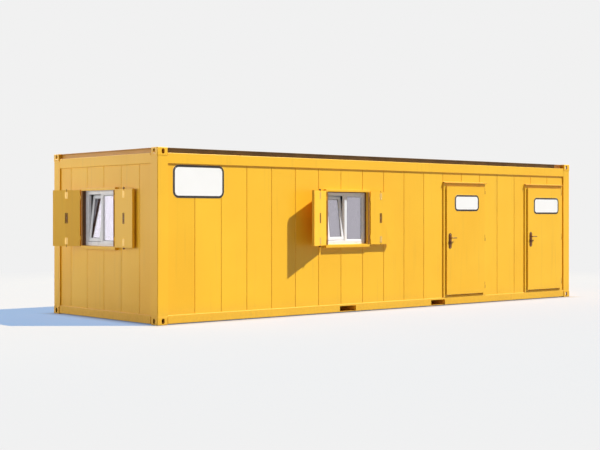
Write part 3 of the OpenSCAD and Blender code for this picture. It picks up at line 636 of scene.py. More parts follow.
class Shape:
    """A mesh that is built up in a sub-assembly's own frame, in metres."""

    def __init__(self) -> None:
        """Starts with an empty mesh."""
        self.bm = bmesh.new()

    def loft(self, loops: Sequence[Sequence[Point | Vector]], closed: bool = False) -> None:
        """Adds a skin over loops of as many corners.

        Args:
            loops: Corner loops, in order along the form.
            closed: Whether the last loop joins the first; otherwise both ends are capped.
        """
        rows = [[self.bm.verts.new(spot) for spot in loop] for loop in loops]
        pairs = list(zip(rows, rows[1:])) + ([(rows[-1], rows[0])] if closed else [])
        for low, high in pairs:
            for k in range(len(low)):
                after = (k + 1) % len(low)
                self.bm.faces.new((low[k], low[after], high[after], high[k]))
        if not closed:
            self.bm.faces.new(rows[0][::-1])
            self.bm.faces.new(rows[-1])

    def prism(self, outline: Outline, y_low: float, y_high: float) -> None:
        """Adds an (x, z) outline swept along Y."""
        self.loft([[(x, y, z) for x, z in outline] for y in (y_low, y_high)])

    def bar(self, section: Outline, x_low: float, x_high: float) -> None:
        """Adds a (y, z) section swept along X."""
        self.loft([[(x, y, z) for y, z in section] for x in (x_low, x_high)])

    def post(self, section: Outline, z_low: float, z_high: float) -> None:
        """Adds an (x, y) section swept along Z."""
        self.loft([[(x, y, z) for x, y in section] for z in (z_low, z_high)])

    def ring(self, outer: Outline, inner: Outline, y_low: float, y_high: float) -> None:
        """Adds a flat ring between two (x, z) outlines of as many corners, swept along Y."""
        edges = ((outer, y_low), (inner, y_low), (inner, y_high), (outer, y_high))
        self.loft([[(x, y, z) for x, z in outline] for outline, y in edges], closed=True)

    def turned(self, profile: Outline, base: Point, axis: Vector, sides: int = 12) -> None:
        """Adds a turned form.

        Args:
            profile: Points as (radius, height along the axis), from the foot to the crown.
            base: Where the axis starts.
            axis: Direction of the axis.
            sides: Number of sides.
        """
        turn = Vector((0, 0, 1)).rotation_difference(axis).to_matrix()
        angles = [2 * math.pi * k / sides for k in range(sides)]
        self.loft([[Vector(base) + turn @ Vector((r * math.cos(a), r * math.sin(a), h)) for a in angles]
                   for r, h in profile])

    def tube(self, path: Sequence[Vector], radii: Sequence[float], sides: int = 8) -> None:
        """Adds a round bar along a path.

        Args:
            path: Points along the middle of the bar.
            radii: Radius at each point.
            sides: Number of sides.
        """
        angles = [2 * math.pi * k / sides for k in range(sides)]
        loops = []
        for i, (spot, radius) in enumerate(zip(path, radii)):
            ahead = path[min(i + 1, len(path) - 1)] - path[max(i - 1, 0)]
            turn = ahead.to_track_quat("Z", "Y").to_matrix()
            loops.append([spot + turn @ Vector((radius * math.cos(a), radius * math.sin(a), 0))
                          for a in angles])
        self.loft(loops)

    def piece(self, name: str, body: str, finish: Finish, place: Matrix | None = None, soft: float = 0.0,
              slot: str | None = None) -> None:
        """Turns the mesh into a piece that rides on a body.

        Args:
            name: Name of the piece.
            body: CAD body that it rides on.
            finish: Its finish.
            place: Frame that the mesh was built in.
            soft: Radius that softens its edges.
            slot: The record's material slot; not used.
        """
        self.bm.transform(place or Matrix.Identity(4))
        bmesh.ops.recalc_face_normals(self.bm, faces=self.bm.faces)
        if soft:
            sharp = [e for e in self.bm.edges if e.calc_face_angle(0.0) > SOFT_ANGLE]
            bmesh.ops.bevel(self.bm, geom=sharp, offset=soft, segments=2, profile=0.5, affect="EDGES",
                            clamp_overlap=True)
        for face in self.bm.faces:
            face.smooth = True
        for edge in self.bm.edges:
            edge.smooth = edge.calc_face_angle(0.0) < SHARP_ANGLE
        mesh = bpy.data.meshes.new(name)
        self.bm.to_mesh(mesh)
        self.bm.free()
        mesh.materials.append(finish.material())
        made = bpy.data.objects.new(name, mesh)
        bpy.context.scene.collection.objects.link(made)
        even_shading(made)
        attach(made, body)
        LOG.info("made %s on %s, %d faces, in %s", name, body, len(mesh.polygons), finish.name)


class Head(Enum):
    """The small turned parts, each as (radius share, height share) points from foot to crown."""

    RIVET = ((1.0, 0.0), (0.95, 0.35), (0.75, 0.75), (0.4, 0.96), (0.1, 1.0))
    PAN_SCREW = ((1.0, 0.0), (1.0, 0.55), (0.85, 0.9), (0.45, 1.0), (0.3, 0.55), (0.05, 0.5))
    WASHERED_SCREW = ((1.0, 0.0), (1.0, 0.18), (0.62, 0.3), (0.55, 0.32), (0.5, 0.95), (0.3, 1.0))
    BOLT_CAP = ((0.8, 0.0), (1.0, 0.12), (1.0, 0.72), (0.86, 0.92), (0.5, 1.0))
    HINGE_SLEEVE = ((0.9, 0.51), (1.0, 0.53), (1.0, 1.0), (0.8, 1.02), (0.3, 1.03))


def fasten(shape: Shape, head: Head, spots: Sequence[Point], axis: Point | Vector, radius: float,
           height: float, sides: int = 12) -> None:
    """Adds a row of small turned parts.

    Args:
        shape: Mesh that takes them.
        head: Kind of part.
        spots: Where each one sits.
        axis: Direction that they point in.
        radius: Radius of one.
        height: Height of one.
        sides: Number of sides of one.
    """
    profile = [(r * radius, h * height) for r, h in head.value]
    for spot in spots:
        shape.turned(profile, spot, Vector(axis), sides)


def dress(node: str, finish: Finish, edge: float = 0.0, segments: int = 2) -> None:
    """Gives a CAD node its finish, and softens its edges.

    Args:
        node: Name of the node.
        finish: Its finish.
        edge: Radius of the softened edges, or 0 for none.
        segments: Chords across a softened edge.
    """
    made = frame["nodes"][node]
    made.material_slots[0].material = finish.material()
    if edge:
        weld = made.modifiers.new("joined facets", "WELD")
        weld.merge_threshold = FACET_GAP
        whole = made.modifiers.new("whole faces", "DECIMATE")
        whole.decimate_type = "DISSOLVE"
        whole.angle_limit = FLAT_ANGLE
        bevel = made.modifiers.new("softened edges", "BEVEL")
        bevel.width = edge
        bevel.segments = segments
        bevel.limit_method = "ANGLE"
        bevel.angle_limit = SOFT_ANGLE
        even_shading(made)
    LOG.info("dressed %s in %s", node, finish.name)


def local_box(node: str, place: Matrix) -> tuple[Vector, Vector]:
    """Measures a CAD node in another frame.

    Args:
        node: Name of the node.
        place: The frame to measure it in.

    Returns:
        Lowest and highest corner in that frame.
    """
    back = place.inverted()
    spots = [back @ v.co for v in frame["nodes"][node].data.vertices]
    low = Vector([min(s[i] for s in spots) for i in range(3)])
    high = Vector([max(s[i] for s in spots) for i in range(3)])
    return low, high


def axes(right: Point | Vector, inward: Point | Vector, origin: Point) -> Matrix:
    """Makes a frame from its X axis, its Y axis and its origin, with Z up."""
    columns = Matrix((right, inward, (0, 0, 1))).transposed()
    return Matrix.Translation(origin) @ columns.to_4x4()


def joint_named(name: str) -> dict:
    """Returns the joint of that name."""
    return next(j for j in frame["joints"] if j["name"] == name)


class Wall(Enum):
    """The walls that carry a window: the axis to the right seen from outside, and the axis inward."""

    FRONT = ((1, 0, 0), (0, 1, 0))
    END = ((0, -1, 0), (1, 0, 0))


class Hand(Enum):
    """The two leaves of a window's shutters, as seen from outside."""

    LEFT = -1
    RIGHT = 1


@dataclass
class SteelFrame:
    """Corner castings, posts, rails, fork pockets and joists, with the welds between them."""

    bead_radius: float = 3.4 * MM
    ripple_pitch: float = 7 * MM
    ripple_dip: float = 0.8
    post_w: float = 190 * MM
    post_round: float = 12 * MM
    tongue_set: float = 14 * MM
    section_edge: float = 3 * MM
    plate_edge: float = 1.5 * MM

    def build(self) -> None:
        """Dresses the frame's nodes and adds the weld beads."""
        dress("corner_posts", PANEL_SKIN, self.section_edge)
        for node in ("bottom_corner_castings", "top_corner_castings"):
            dress(node, cast_coat(node), self.section_edge)
        for node in ("long_bottom_rails", "end_bottom_rails", "long_top_rails", "end_top_rails"):
            dress(node, YELLOW, self.section_edge)
        dress("fork_pockets", YELLOW, self.plate_edge)
        dress("floor_joists", PRIMER, self.plate_edge)
        self.weld()

    def weld(self) -> None:
        """Lays beads round the outer faces of the posts' ends, and where the rails meet the castings."""
        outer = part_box("bottom_corner_castings")[1]
        low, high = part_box("corner_posts")
        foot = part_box("long_bottom_rails")[0].z
        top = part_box("long_top_rails")[1].z
        inset = self.post_round * (1 - math.sqrt(0.5))
        beads = Shape()
        for sx in (-1, 1):
            for sy in (-1, 1):
                plan = ((outer.x - self.post_w, high.y), (high.x - self.post_round, high.y),
                        (high.x - inset, high.y - inset), (high.x, high.y - self.post_round),
                        (high.x, outer.y - self.post_w))
                for z in (low.z + self.bead_radius / 2, high.z - self.bead_radius / 2):
                    self.bead(beads, [Vector((sx * x, sy * y, z)) for x, y in plan])
                seams = ((outer.x - CASTING[0], outer.y - self.tongue_set),
                         (outer.x - self.tongue_set, outer.y - CASTING[1]))
                for x, y in seams:
                    for z0, z1 in ((foot, low.z), (high.z, top)):
                        self.bead(beads, [Vector((sx * x, sy * y, z0 + self.bead_radius)),
                                          Vector((sx * x, sy * y, z1 - self.bead_radius))])
        beads.piece("weld_beads", "cabin", YELLOW, slot="yellow_paint")

    def bead(self, beads: Shape, corners: Sequence[Vector]) -> None:
        """Adds one rippled bead.

        Args:
            beads: Mesh that takes it.
            corners: Corners of its path.
        """
        path = []
        for start, end in zip(corners, corners[1:]):
            steps = max(1, round((end - start).length / self.ripple_pitch))
            path += [start.lerp(end, k / steps) for k in range(steps)]
        path.append(corners[-1])
        radii = [self.bead_radius * (1.0 if k % 2 else self.ripple_dip) for k in range(len(path))]
        beads.tube(path, radii)


@dataclass
class PanelShell:
    """Wall panels, floor and ceiling."""

    panel_edge: float = 1.2 * MM

    def build(self) -> None:
        """Dresses the walls with their two faces, the floor and the ceiling."""
        for node in ("front_wall_left", "front_wall_over_doors", "front_wall_beside_doors", "rear_wall",
                     "left_end_wall", "right_end_wall"):
            dress(node, PANEL_SKIN, self.panel_edge)
        dress("floor_deck", VINYL)
        dress("ceiling_panel", LINING)


@dataclass
class Roof:
    """Ribbed roof sheet and its edge trim, with screws along the rib crowns."""

    sheet_edge: float = 4 * MM
    sheet_chords: int = 3
    trim_edge: float = 1.5 * MM
    rib_pitch: float = 300 * MM
    rib_foot: float = 130 * MM
    screw_rows: int = 5
    screw_margin: float = 120 * MM
    screw_radius: float = 11 * MM
    screw_height: float = 9 * MM

    def build(self) -> None:
        """Dresses the roof and adds its screws."""
        dress("roof_sheet", ROOF_COAT, self.sheet_edge, self.sheet_chords)
        dress("roof_edge", EDGE_COAT, self.trim_edge)
        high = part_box("roof_sheet")[1]
        ribs = int((high.x - self.rib_foot) / self.rib_pitch)
        reach = high.y - self.screw_margin
        rows = [-reach + 2 * reach * k / (self.screw_rows - 1) for k in range(self.screw_rows)]
        spots = [(k * self.rib_pitch, y, high.z) for k in range(-ribs, ribs + 1) for y in rows]
        screws = Shape()
        fasten(screws, Head.WASHERED_SCREW, spots, (0, 0, 1), self.screw_radius, self.screw_height)
        screws.piece("roof_screws", "cabin", ZINC, slot="hinge_steel")


# The sash handle's path in millimetres: out from the sash, up along it, and the radius there.
HANDLE_BENDS = ((6, 0, 8.5), (30, 0, 8.5), (38, 6, 9), (41, 20, 9), (41, 116, 8), (39, 124, 5))


@dataclass
class Window:
    """A two-light window in its steel surround: seals and dark reveal liners, partly painted shade,
    gaskets, welds, drain caps, stay and handle.
    """

    label: str
    wall: Wall
    frame_seal: Finish
    shade_liner_share: float
    steel_edge: float = 3 * MM
    frame_edge: float = 2.5 * MM
    sash_edge: float = 3 * MM
    sash_chords: int = 3
    frame_face: float = 62 * MM
    frame_flare: float = 8 * MM
    frame_set: float = 10 * MM
    mullion: float = 56 * MM
    bead: float = 18 * MM
    sash_face: float = 56 * MM
    sash_flare: float = 10 * MM
    sash_thick: float = 46 * MM
    sash_seat: float = 0.3 * MM
    glass_thick: float = 20 * MM
    tilt_degrees: float = 6.5
    gasket_w: float = 5 * MM
    gasket_t: float = 3 * MM
    gasket_soft: float = 0.8 * MM
    weld_line: float = 0.9 * MM
    weld_sides: int = 6
    seal_clear: float = 9 * MM
    seal_lap: float = 3 * MM
    seal_t: float = 6 * MM
    seal_soft: float = 1.5 * MM
    sealant: float = 13 * MM
    shade_liner_t: float = 2 * MM
    rose_half: Span = (14 * MM, 33 * MM)
    rose_round: float = 13 * MM
    rose_t: float = 9 * MM
    handle_sides: int = 12
    stay_set: float = 20 * MM
    stay_half: float = 6 * MM
    stay_t: float = 3 * MM
    stay_drop: float = 2 * MM
    stay_sink: float = 1 * MM
    stay_rivet: Span = (4 * MM, 1.6 * MM)
    stay_soft: float = 0.6 * MM
    drain_share: float = 0.55
    drain_half: Span = (18 * MM, 6 * MM)
    drain_round: float = 5 * MM
    drain_t: float = 4 * MM
    drain_soft: float = 1.5 * MM
    place: Matrix = field(init=False)
    low: Vector = field(init=False)
    high: Vector = field(init=False)

    def __post_init__(self) -> None:
        """Sets up axes at the wall's outer face, under the window's middle, and measures the frame."""
        low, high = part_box(f"{self.label}_window_frame")
        right, inward = self.wall.value
        middle = (low + high) / 2
        face = low - Vector(inward) * self.frame_set
        origin = (middle.x, face.y, 0) if self.wall is Wall.FRONT else (face.x, middle.y, 0)
        self.place = axes(right, inward, origin)
        self.low, self.high = local_box(f"{self.label}_window_frame", self.place)

    def build(self) -> None:
        """Dresses the window's nodes and adds its fittings."""
        dress(f"{self.label}_shutter_surround", YELLOW, self.steel_edge)
        dress(f"{self.label}_window_frame", UPVC, self.frame_edge)
        dress(f"{self.label}_window_sash", UPVC, self.sash_edge, self.sash_chords)
        dress(f"{self.label}_window_glass", GLASS)
        self.seals()
        self.fixed_light()
        self.tilted_light()
        self.drain_caps()

    def seals(self) -> None:
        """Adds tan seals on the surround's face and dark brown liners on its inner sides, which paint the
        surround's shade, and the sealant round the frame, dark brown as painted shade on one window.
        """
        low, high, s = self.low, self.high, self.sealant
        steel_low, steel_high = local_box(f"{self.label}_shutter_surround", self.place)
        front, back = low.y - s, low.y - HAIR
        outer = low.y - self.shade_liner_share * (low.y - steel_low.y)
        seal_and_shade_strips, beads, shade_liners = Shape(), Shape(), Shape()
        for side in (-1, 1):
            x0, x1 = sorted((side * (high.x + self.seal_lap), side * (steel_high.x - self.seal_clear)))
            seal_and_shade_strips.prism(round_outline(x0, low.z, x1, high.z, self.seal_lap), steel_low.y - self.seal_t,
                         steel_low.y - HAIR)
            edge = side * high.x
            beads.post([(edge, front), (edge, back), (edge - side * s, back)],
                       low.z + self.seal_lap, high.z)
            inside = edge - side * self.shade_liner_t
            shade_liners.post([(edge, outer), (edge, back), (inside, back), (inside, outer + self.shade_liner_t)],
                        low.z + self.seal_lap, high.z - self.seal_lap)
        beads.bar([(front, high.z), (back, high.z), (back, high.z - s)], low.x + s, high.x - s)
        seal_and_shade_strips.piece(f"{self.label}_surround_seals", "cabin", TAN_SEAL_AND_SHADE, self.place, self.seal_soft)
        beads.piece(f"{self.label}_frame_sealant", "cabin", self.frame_seal, self.place)
        shade_liners.piece(f"{self.label}_reveal_liners", "cabin", PAINTED_SHADE_SEAL, self.place)

    def corner_welds(self, shape: Shape, low: Vector, high: Vector, inset: float, y: float) -> None:
        """Adds the weld lines across the corners of a frame's face.

        Args:
            shape: Mesh that takes them.
            low: Lowest corner of the frame.
            high: Highest corner of the frame.
            inset: Width of the frame's flat face.
            y: Depth of the face.
        """
        for x, dx in ((low.x, 1), (high.x, -1)):
            for z, dz in ((low.z, 1), (high.z, -1)):
                path = [Vector((x + dx * s, y, z + dz * s)) for s in (self.frame_flare / 2, inset)]
                shape.tube(path, [self.weld_line, self.weld_line], self.weld_sides)

    def fixed_light(self) -> None:
        """Seals the fixed pane and welds the frame's corners."""
        low, high, g = self.low, self.high, self.gasket_w
        edge = self.frame_face + self.bead
        x0, x1 = self.mullion / 2 + self.bead, high.x - edge
        z0, z1 = low.z + edge, high.z - edge
        pane = (low.y + high.y - self.glass_thick) / 2
        seal = Shape()
        seal.ring(round_outline(x0, z0, x1, z1), round_outline(x0 + g, z0 + g, x1 - g, z1 - g),
                  pane - self.gasket_t, pane - GAP)
        seal.piece(f"{self.label}_fixed_pane_gasket", "cabin", RUBBER, self.place, self.gasket_soft)
        welds = Shape()
        self.corner_welds(welds, low, high, self.frame_face - self.frame_flare, low.y)
        welds.piece(f"{self.label}_frame_corner_welds", "cabin", UPVC, self.place, slot="white_upvc")

    def sash_place(self) -> Matrix:
        """Works out the leaning sash's frame.

        Returns:
            The frame at the middle of the sash's foot.
        """
        low, high, lean = self.low, self.high, math.radians(self.tilt_degrees)
        light = (high.x - low.x - 2 * self.frame_face - self.mullion) / 2
        foot = self.sash_seat + self.sash_thick / 2 * math.sin(lean)
        spot = Vector((-self.mullion / 2 - light / 2, (low.y + high.y) / 2,
                       low.z + self.frame_face + foot))
        return self.place @ Matrix.Translation(spot) @ Matrix.Rotation(-lean, 4, "X")

    def tilted_light(self) -> None:
        """Seals the leaning pane, welds the sash's corners and adds its handle and stay."""
        sash = self.sash_place()
        low, high = local_box(f"{self.label}_window_sash", sash)
        x = high.x - self.sash_face
        z0, z1 = low.z + self.sash_face, high.z - self.sash_face
        g = self.gasket_w
        seal = Shape()
        near, far = self.glass_thick / 2 + GAP, self.glass_thick / 2 + self.gasket_t
        for y0, y1 in ((-far, -near), (near, far)):
            seal.ring(round_outline(-x, z0, x, z1), round_outline(-x + g, z0 + g, x - g, z1 - g), y0, y1)
        seal.piece(f"{self.label}_tilted_pane_gasket", "cabin", RUBBER, sash, self.gasket_soft)
        welds = Shape()
        for y in (low.y, high.y):
            self.corner_welds(welds, low, high, self.sash_face - self.sash_flare, y)
        welds.piece(f"{self.label}_sash_corner_welds", "cabin", UPVC, sash, slot="white_upvc")
        self.sash_handle(sash, low, high)
        self.sash_stay(self.place.inverted() @ sash @ Vector((high.x - self.stay_set, 0, high.z)))

    def sash_handle(self, sash: Matrix, low: Vector, high: Vector) -> None:
        """Adds the turning handle on the sash's inner face.

        Args:
            sash: The sash's frame.
            low: Lowest corner of the sash there.
            high: Highest corner of the sash there.
        """
        x = high.x - self.sash_face / 2
        z = (low.z + high.z) / 2
        face = high.y
        handle = Shape()
        handle.prism(around(x, z, *self.rose_half, self.rose_round), face, face + self.rose_t)
        handle.tube([Vector((x, face + out * MM, z + up * MM)) for out, up, r in HANDLE_BENDS],
                    [r * MM for out, up, r in HANDLE_BENDS], self.handle_sides)
        handle.piece(f"{self.label}_sash_handle", "cabin", UPVC, sash, slot="white_upvc")

    def sash_stay(self, head: Vector) -> None:
        """Adds the stay that holds the leaning sash.

        Args:
            head: Point on the sash's top edge that the stay holds.
        """
        half = self.stay_half
        top = self.high.z - self.frame_face - self.stay_drop
        under = top - self.stay_t
        stay = Shape()
        stay.prism(round_outline(head.x - half, under, head.x + half, top), self.high.y - 2 * half,
                   head.y + half)
        stay.prism(round_outline(head.x - half, head.z - self.stay_sink, head.x + half, under),
                   head.y - half, head.y + half)
        fasten(stay, Head.RIVET, [(head.x, head.y, top)], (0, 0, 1), *self.stay_rivet)
        stay.piece(f"{self.label}_sash_stay", "cabin", ZINC, self.place, self.stay_soft, "hinge_steel")

    def drain_caps(self) -> None:
        """Adds the two hooded drain caps on the foot of the window frame."""
        caps = Shape()
        y, z = self.low.y, self.low.z + self.frame_face / 2
        for x in (self.low.x * self.drain_share, self.high.x * self.drain_share):
            caps.prism(around(x, z, *self.drain_half, self.drain_round), y - self.drain_t, y)
        caps.piece(f"{self.label}_drain_caps", "cabin", UPVC, self.place, self.drain_soft, "white_upvc")


@dataclass
class Shutter:
    """One steel shutter leaf: bolt keepers and caps, the rim and screw of its grip, the hinge screws."""

    label: str
    wall: Wall
    hand: Hand
    capped: bool
    leaf_edge: float = 1.5 * MM
    lock_edge: float = 1 * MM
    keeper_w: float = 50 * MM
    keeper_h: float = 105 * MM
    keeper_t: float = 2 * MM
    keeper_margin: float = 28 * MM
    keeper_holes: Span = (0.12, 0.88)
    keeper_soft: float = 0.4 * MM
    crown_r: float = 9 * MM
    crown_h: float = 5 * MM
    crown_step: int = 20
    screw_r: float = 3.6 * MM
    screw_h: float = 1.6 * MM
    pivot_screw: Span = (5 * MM, 2 * MM)
    hinge_in: float = 90 * MM
    hinge_h: float = 70 * MM
    hinge_back: float = 2 * MM
    hinge_holes: Span = (14 * MM, 34 * MM)
    recess_w: float = 32 * MM
    recess_h: float = 144 * MM
    recess_round: float = 1 * MM
    rim_w: float = 10 * MM
    rim_t: float = 1.5 * MM
    rim_soft: float = 0.6 * MM
    bolt_set: float = 8 * MM
    cap_r: float = 15 * MM
    cap_h: float = 26 * MM
    cap_sides: int = 20
    hinge: Vector = field(init=False)
    place: Matrix = field(init=False)
    foot: float = field(init=False)
    top: float = field(init=False)
    bolt_x: float = field(init=False)

    def __post_init__(self) -> None:
        """Sets up axes with the origin on the hinge line and X along the leaf, and measures the leaf."""
        joint = joint_named(f"{self.label}_shutter_hinge")
        self.hinge = Vector(joint["pos_m"])
        opened = math.radians(-joint["range_deg"][0])
        right, inward = [Vector(v) for v in self.wall.value]
        side = -self.hand.value
        along = right * (side * math.cos(opened)) - inward * math.sin(opened)
        through = right * (side * math.sin(opened)) + inward * math.cos(opened)
        self.place = axes(along, through, (self.hinge.x, self.hinge.y, 0))
        low, high = local_box(f"{self.label}_shutter", self.place)
        lock_low, lock_high = local_box(f"{self.label}_shutter_lock", self.place)
        self.foot, self.top = low.z, high.z
        self.bolt_x = (lock_low.x + lock_high.x) / 2

    def build(self) -> None:
        """Dresses the leaf and its lock and adds its fittings."""
        dress(f"{self.label}_shutter", YELLOW, self.leaf_edge)
        dress(f"{self.label}_shutter_lock", GRIP_ENAMEL, self.lock_edge)
        self.keepers()
        self.grip_fittings()
        if self.capped:
            self.bolt_caps()
        self.hinge_screws()

    def keepers(self) -> None:
        """Adds a pressed and screwed keeper over each bolt."""
        x, half = self.bolt_x, self.keeper_w / 2
        rise = [math.radians(180 - turn) for turn in range(0, 181, self.crown_step)]
        crown = [(x + self.crown_r * math.cos(a), self.keeper_t + self.crown_h * math.sin(a))
                 for a in rise]
        section = [(x - half, GAP), (x - half, self.keeper_t), *crown, (x + half, self.keeper_t),
                   (x + half, GAP)]
        plates = Shape()
        for z0 in (self.foot + self.keeper_margin, self.top - self.keeper_margin - self.keeper_h):
            plates.post(section, z0, z0 + self.keeper_h)
            spots = [(x + side * (half + self.crown_r) / 2, self.keeper_t, z0 + share * self.keeper_h)
                     for side in (-1, 1) for share in self.keeper_holes]
            fasten(plates, Head.PAN_SCREW, spots, (0, 1, 0), self.screw_r, self.screw_h)
        plates.piece(f"{self.label}_bolt_keepers", f"{self.label}_leaf", PASSIVATED, self.place,
                     self.keeper_soft, "hinge_steel")

    def grip_fittings(self) -> None:
        """Adds the moulded rim round the grip's recess and the screw of the grip's pivot."""
        x, z = self.bolt_x, (self.foot + self.top) / 2
        half_w, half_h, w = self.recess_w / 2, self.recess_h / 2, self.rim_w
        inner = around(x, z, half_w, half_h, self.recess_round)
        outer = round_outline(x - half_w - w, z - half_h - w, x + half_w + w, z + half_h + w, w)
        rim = Shape()
        rim.ring(outer, inner, HAIR, self.rim_t)
        rim.piece(f"{self.label}_grip_rim", f"{self.label}_leaf", GRIP_NYLON, self.place, self.rim_soft,
                  "handle_plastic")
        pivot = Shape()
        fasten(pivot, Head.PAN_SCREW, [(x, 0, z)], (0, 1, 0), *self.pivot_screw)
        pivot.piece(f"{self.label}_grip_screw", f"{self.label}_leaf", ZINC, self.place,
                    slot="hinge_steel")

    def bolt_caps(self) -> None:
        """Adds a moulded cap on each bolt's end."""
        caps = Shape()
        for z, up in ((self.foot, -1), (self.top, 1)):
            fasten(caps, Head.BOLT_CAP, [(self.bolt_x, -self.bolt_set, z)], (0, 0, up), self.cap_r,
                   self.cap_h, self.cap_sides)
        caps.piece(f"{self.label}_bolt_caps", f"{self.label}_leaf", NYLON, self.place,
                   slot="handle_plastic")

    def hinge_screws(self) -> None:
        """Adds the screws that hold the hinge plates to the surround's side."""
        right, inward = [Vector(v) for v in self.wall.value]
        out = right * self.hand.value
        spots = []
        for level in (self.foot + self.hinge_in, self.top - self.hinge_in - self.hinge_h):
            for depth in self.hinge_holes:
                hole = self.hinge + out * self.hinge_back + inward * depth
                spots.append((hole.x, hole.y, level + self.hinge_h / 4))
        screws = Shape()
        fasten(screws, Head.PAN_SCREW, spots, out, self.screw_r, self.screw_h)
        screws.piece(f"{self.label}_hinge_screws", "cabin", YELLOW, slot="yellow_paint")


@dataclass
class SignPlate:
    """A bare printed plate with a dark border, riveted at its corners."""

    name: str
    body: str
    x: float
    z: float
    y_face: float
    width: float
    height: float
    radius: float
    border: float = 30 * MM
    border_set: float = 1 * MM
    chords: int = 8
    thick: float = 2.5 * MM
    soft: float = 0.6 * MM
    film: float = 0.4 * MM
    film_gap: float = 0.05 * MM
    rivet_r: float = 5 * MM

    def build(self) -> None:
        """Adds the plate, its border and its rivets."""
        x0, x1 = self.x - self.width / 2, self.x + self.width / 2
        z0, z1 = self.z - self.height / 2, self.z + self.height / 2
        face = self.y_face - self.thick
        plate = Shape()
        plate.prism(round_outline(x0, z0, x1, z1, self.radius, self.chords), face, self.y_face)
        plate.piece(f"{self.name}_plate", self.body, SIGN_FACE, soft=self.soft)
        outer, inner = [round_outline(x0 + s, z0 + s, x1 - s, z1 - s, self.radius - s, self.chords)
                        for s in (self.border_set, self.border)]
        edge = Shape()
        edge.ring(outer, inner, face - self.film, face - self.film_gap)
        edge.piece(f"{self.name}_border", self.body, SIGN_EDGE)
        margin = self.border + 3 * self.rivet_r
        spots = [(x, face, z) for x in (x0 + margin, x1 - margin) for z in (z0 + margin, z1 - margin)]
        rivets = Shape()
        fasten(rivets, Head.RIVET, spots, (0, -1, 0), self.rivet_r, self.rivet_r / 2)
        rivets.piece(f"{self.name}_rivets", self.body, SIGN_FACE)


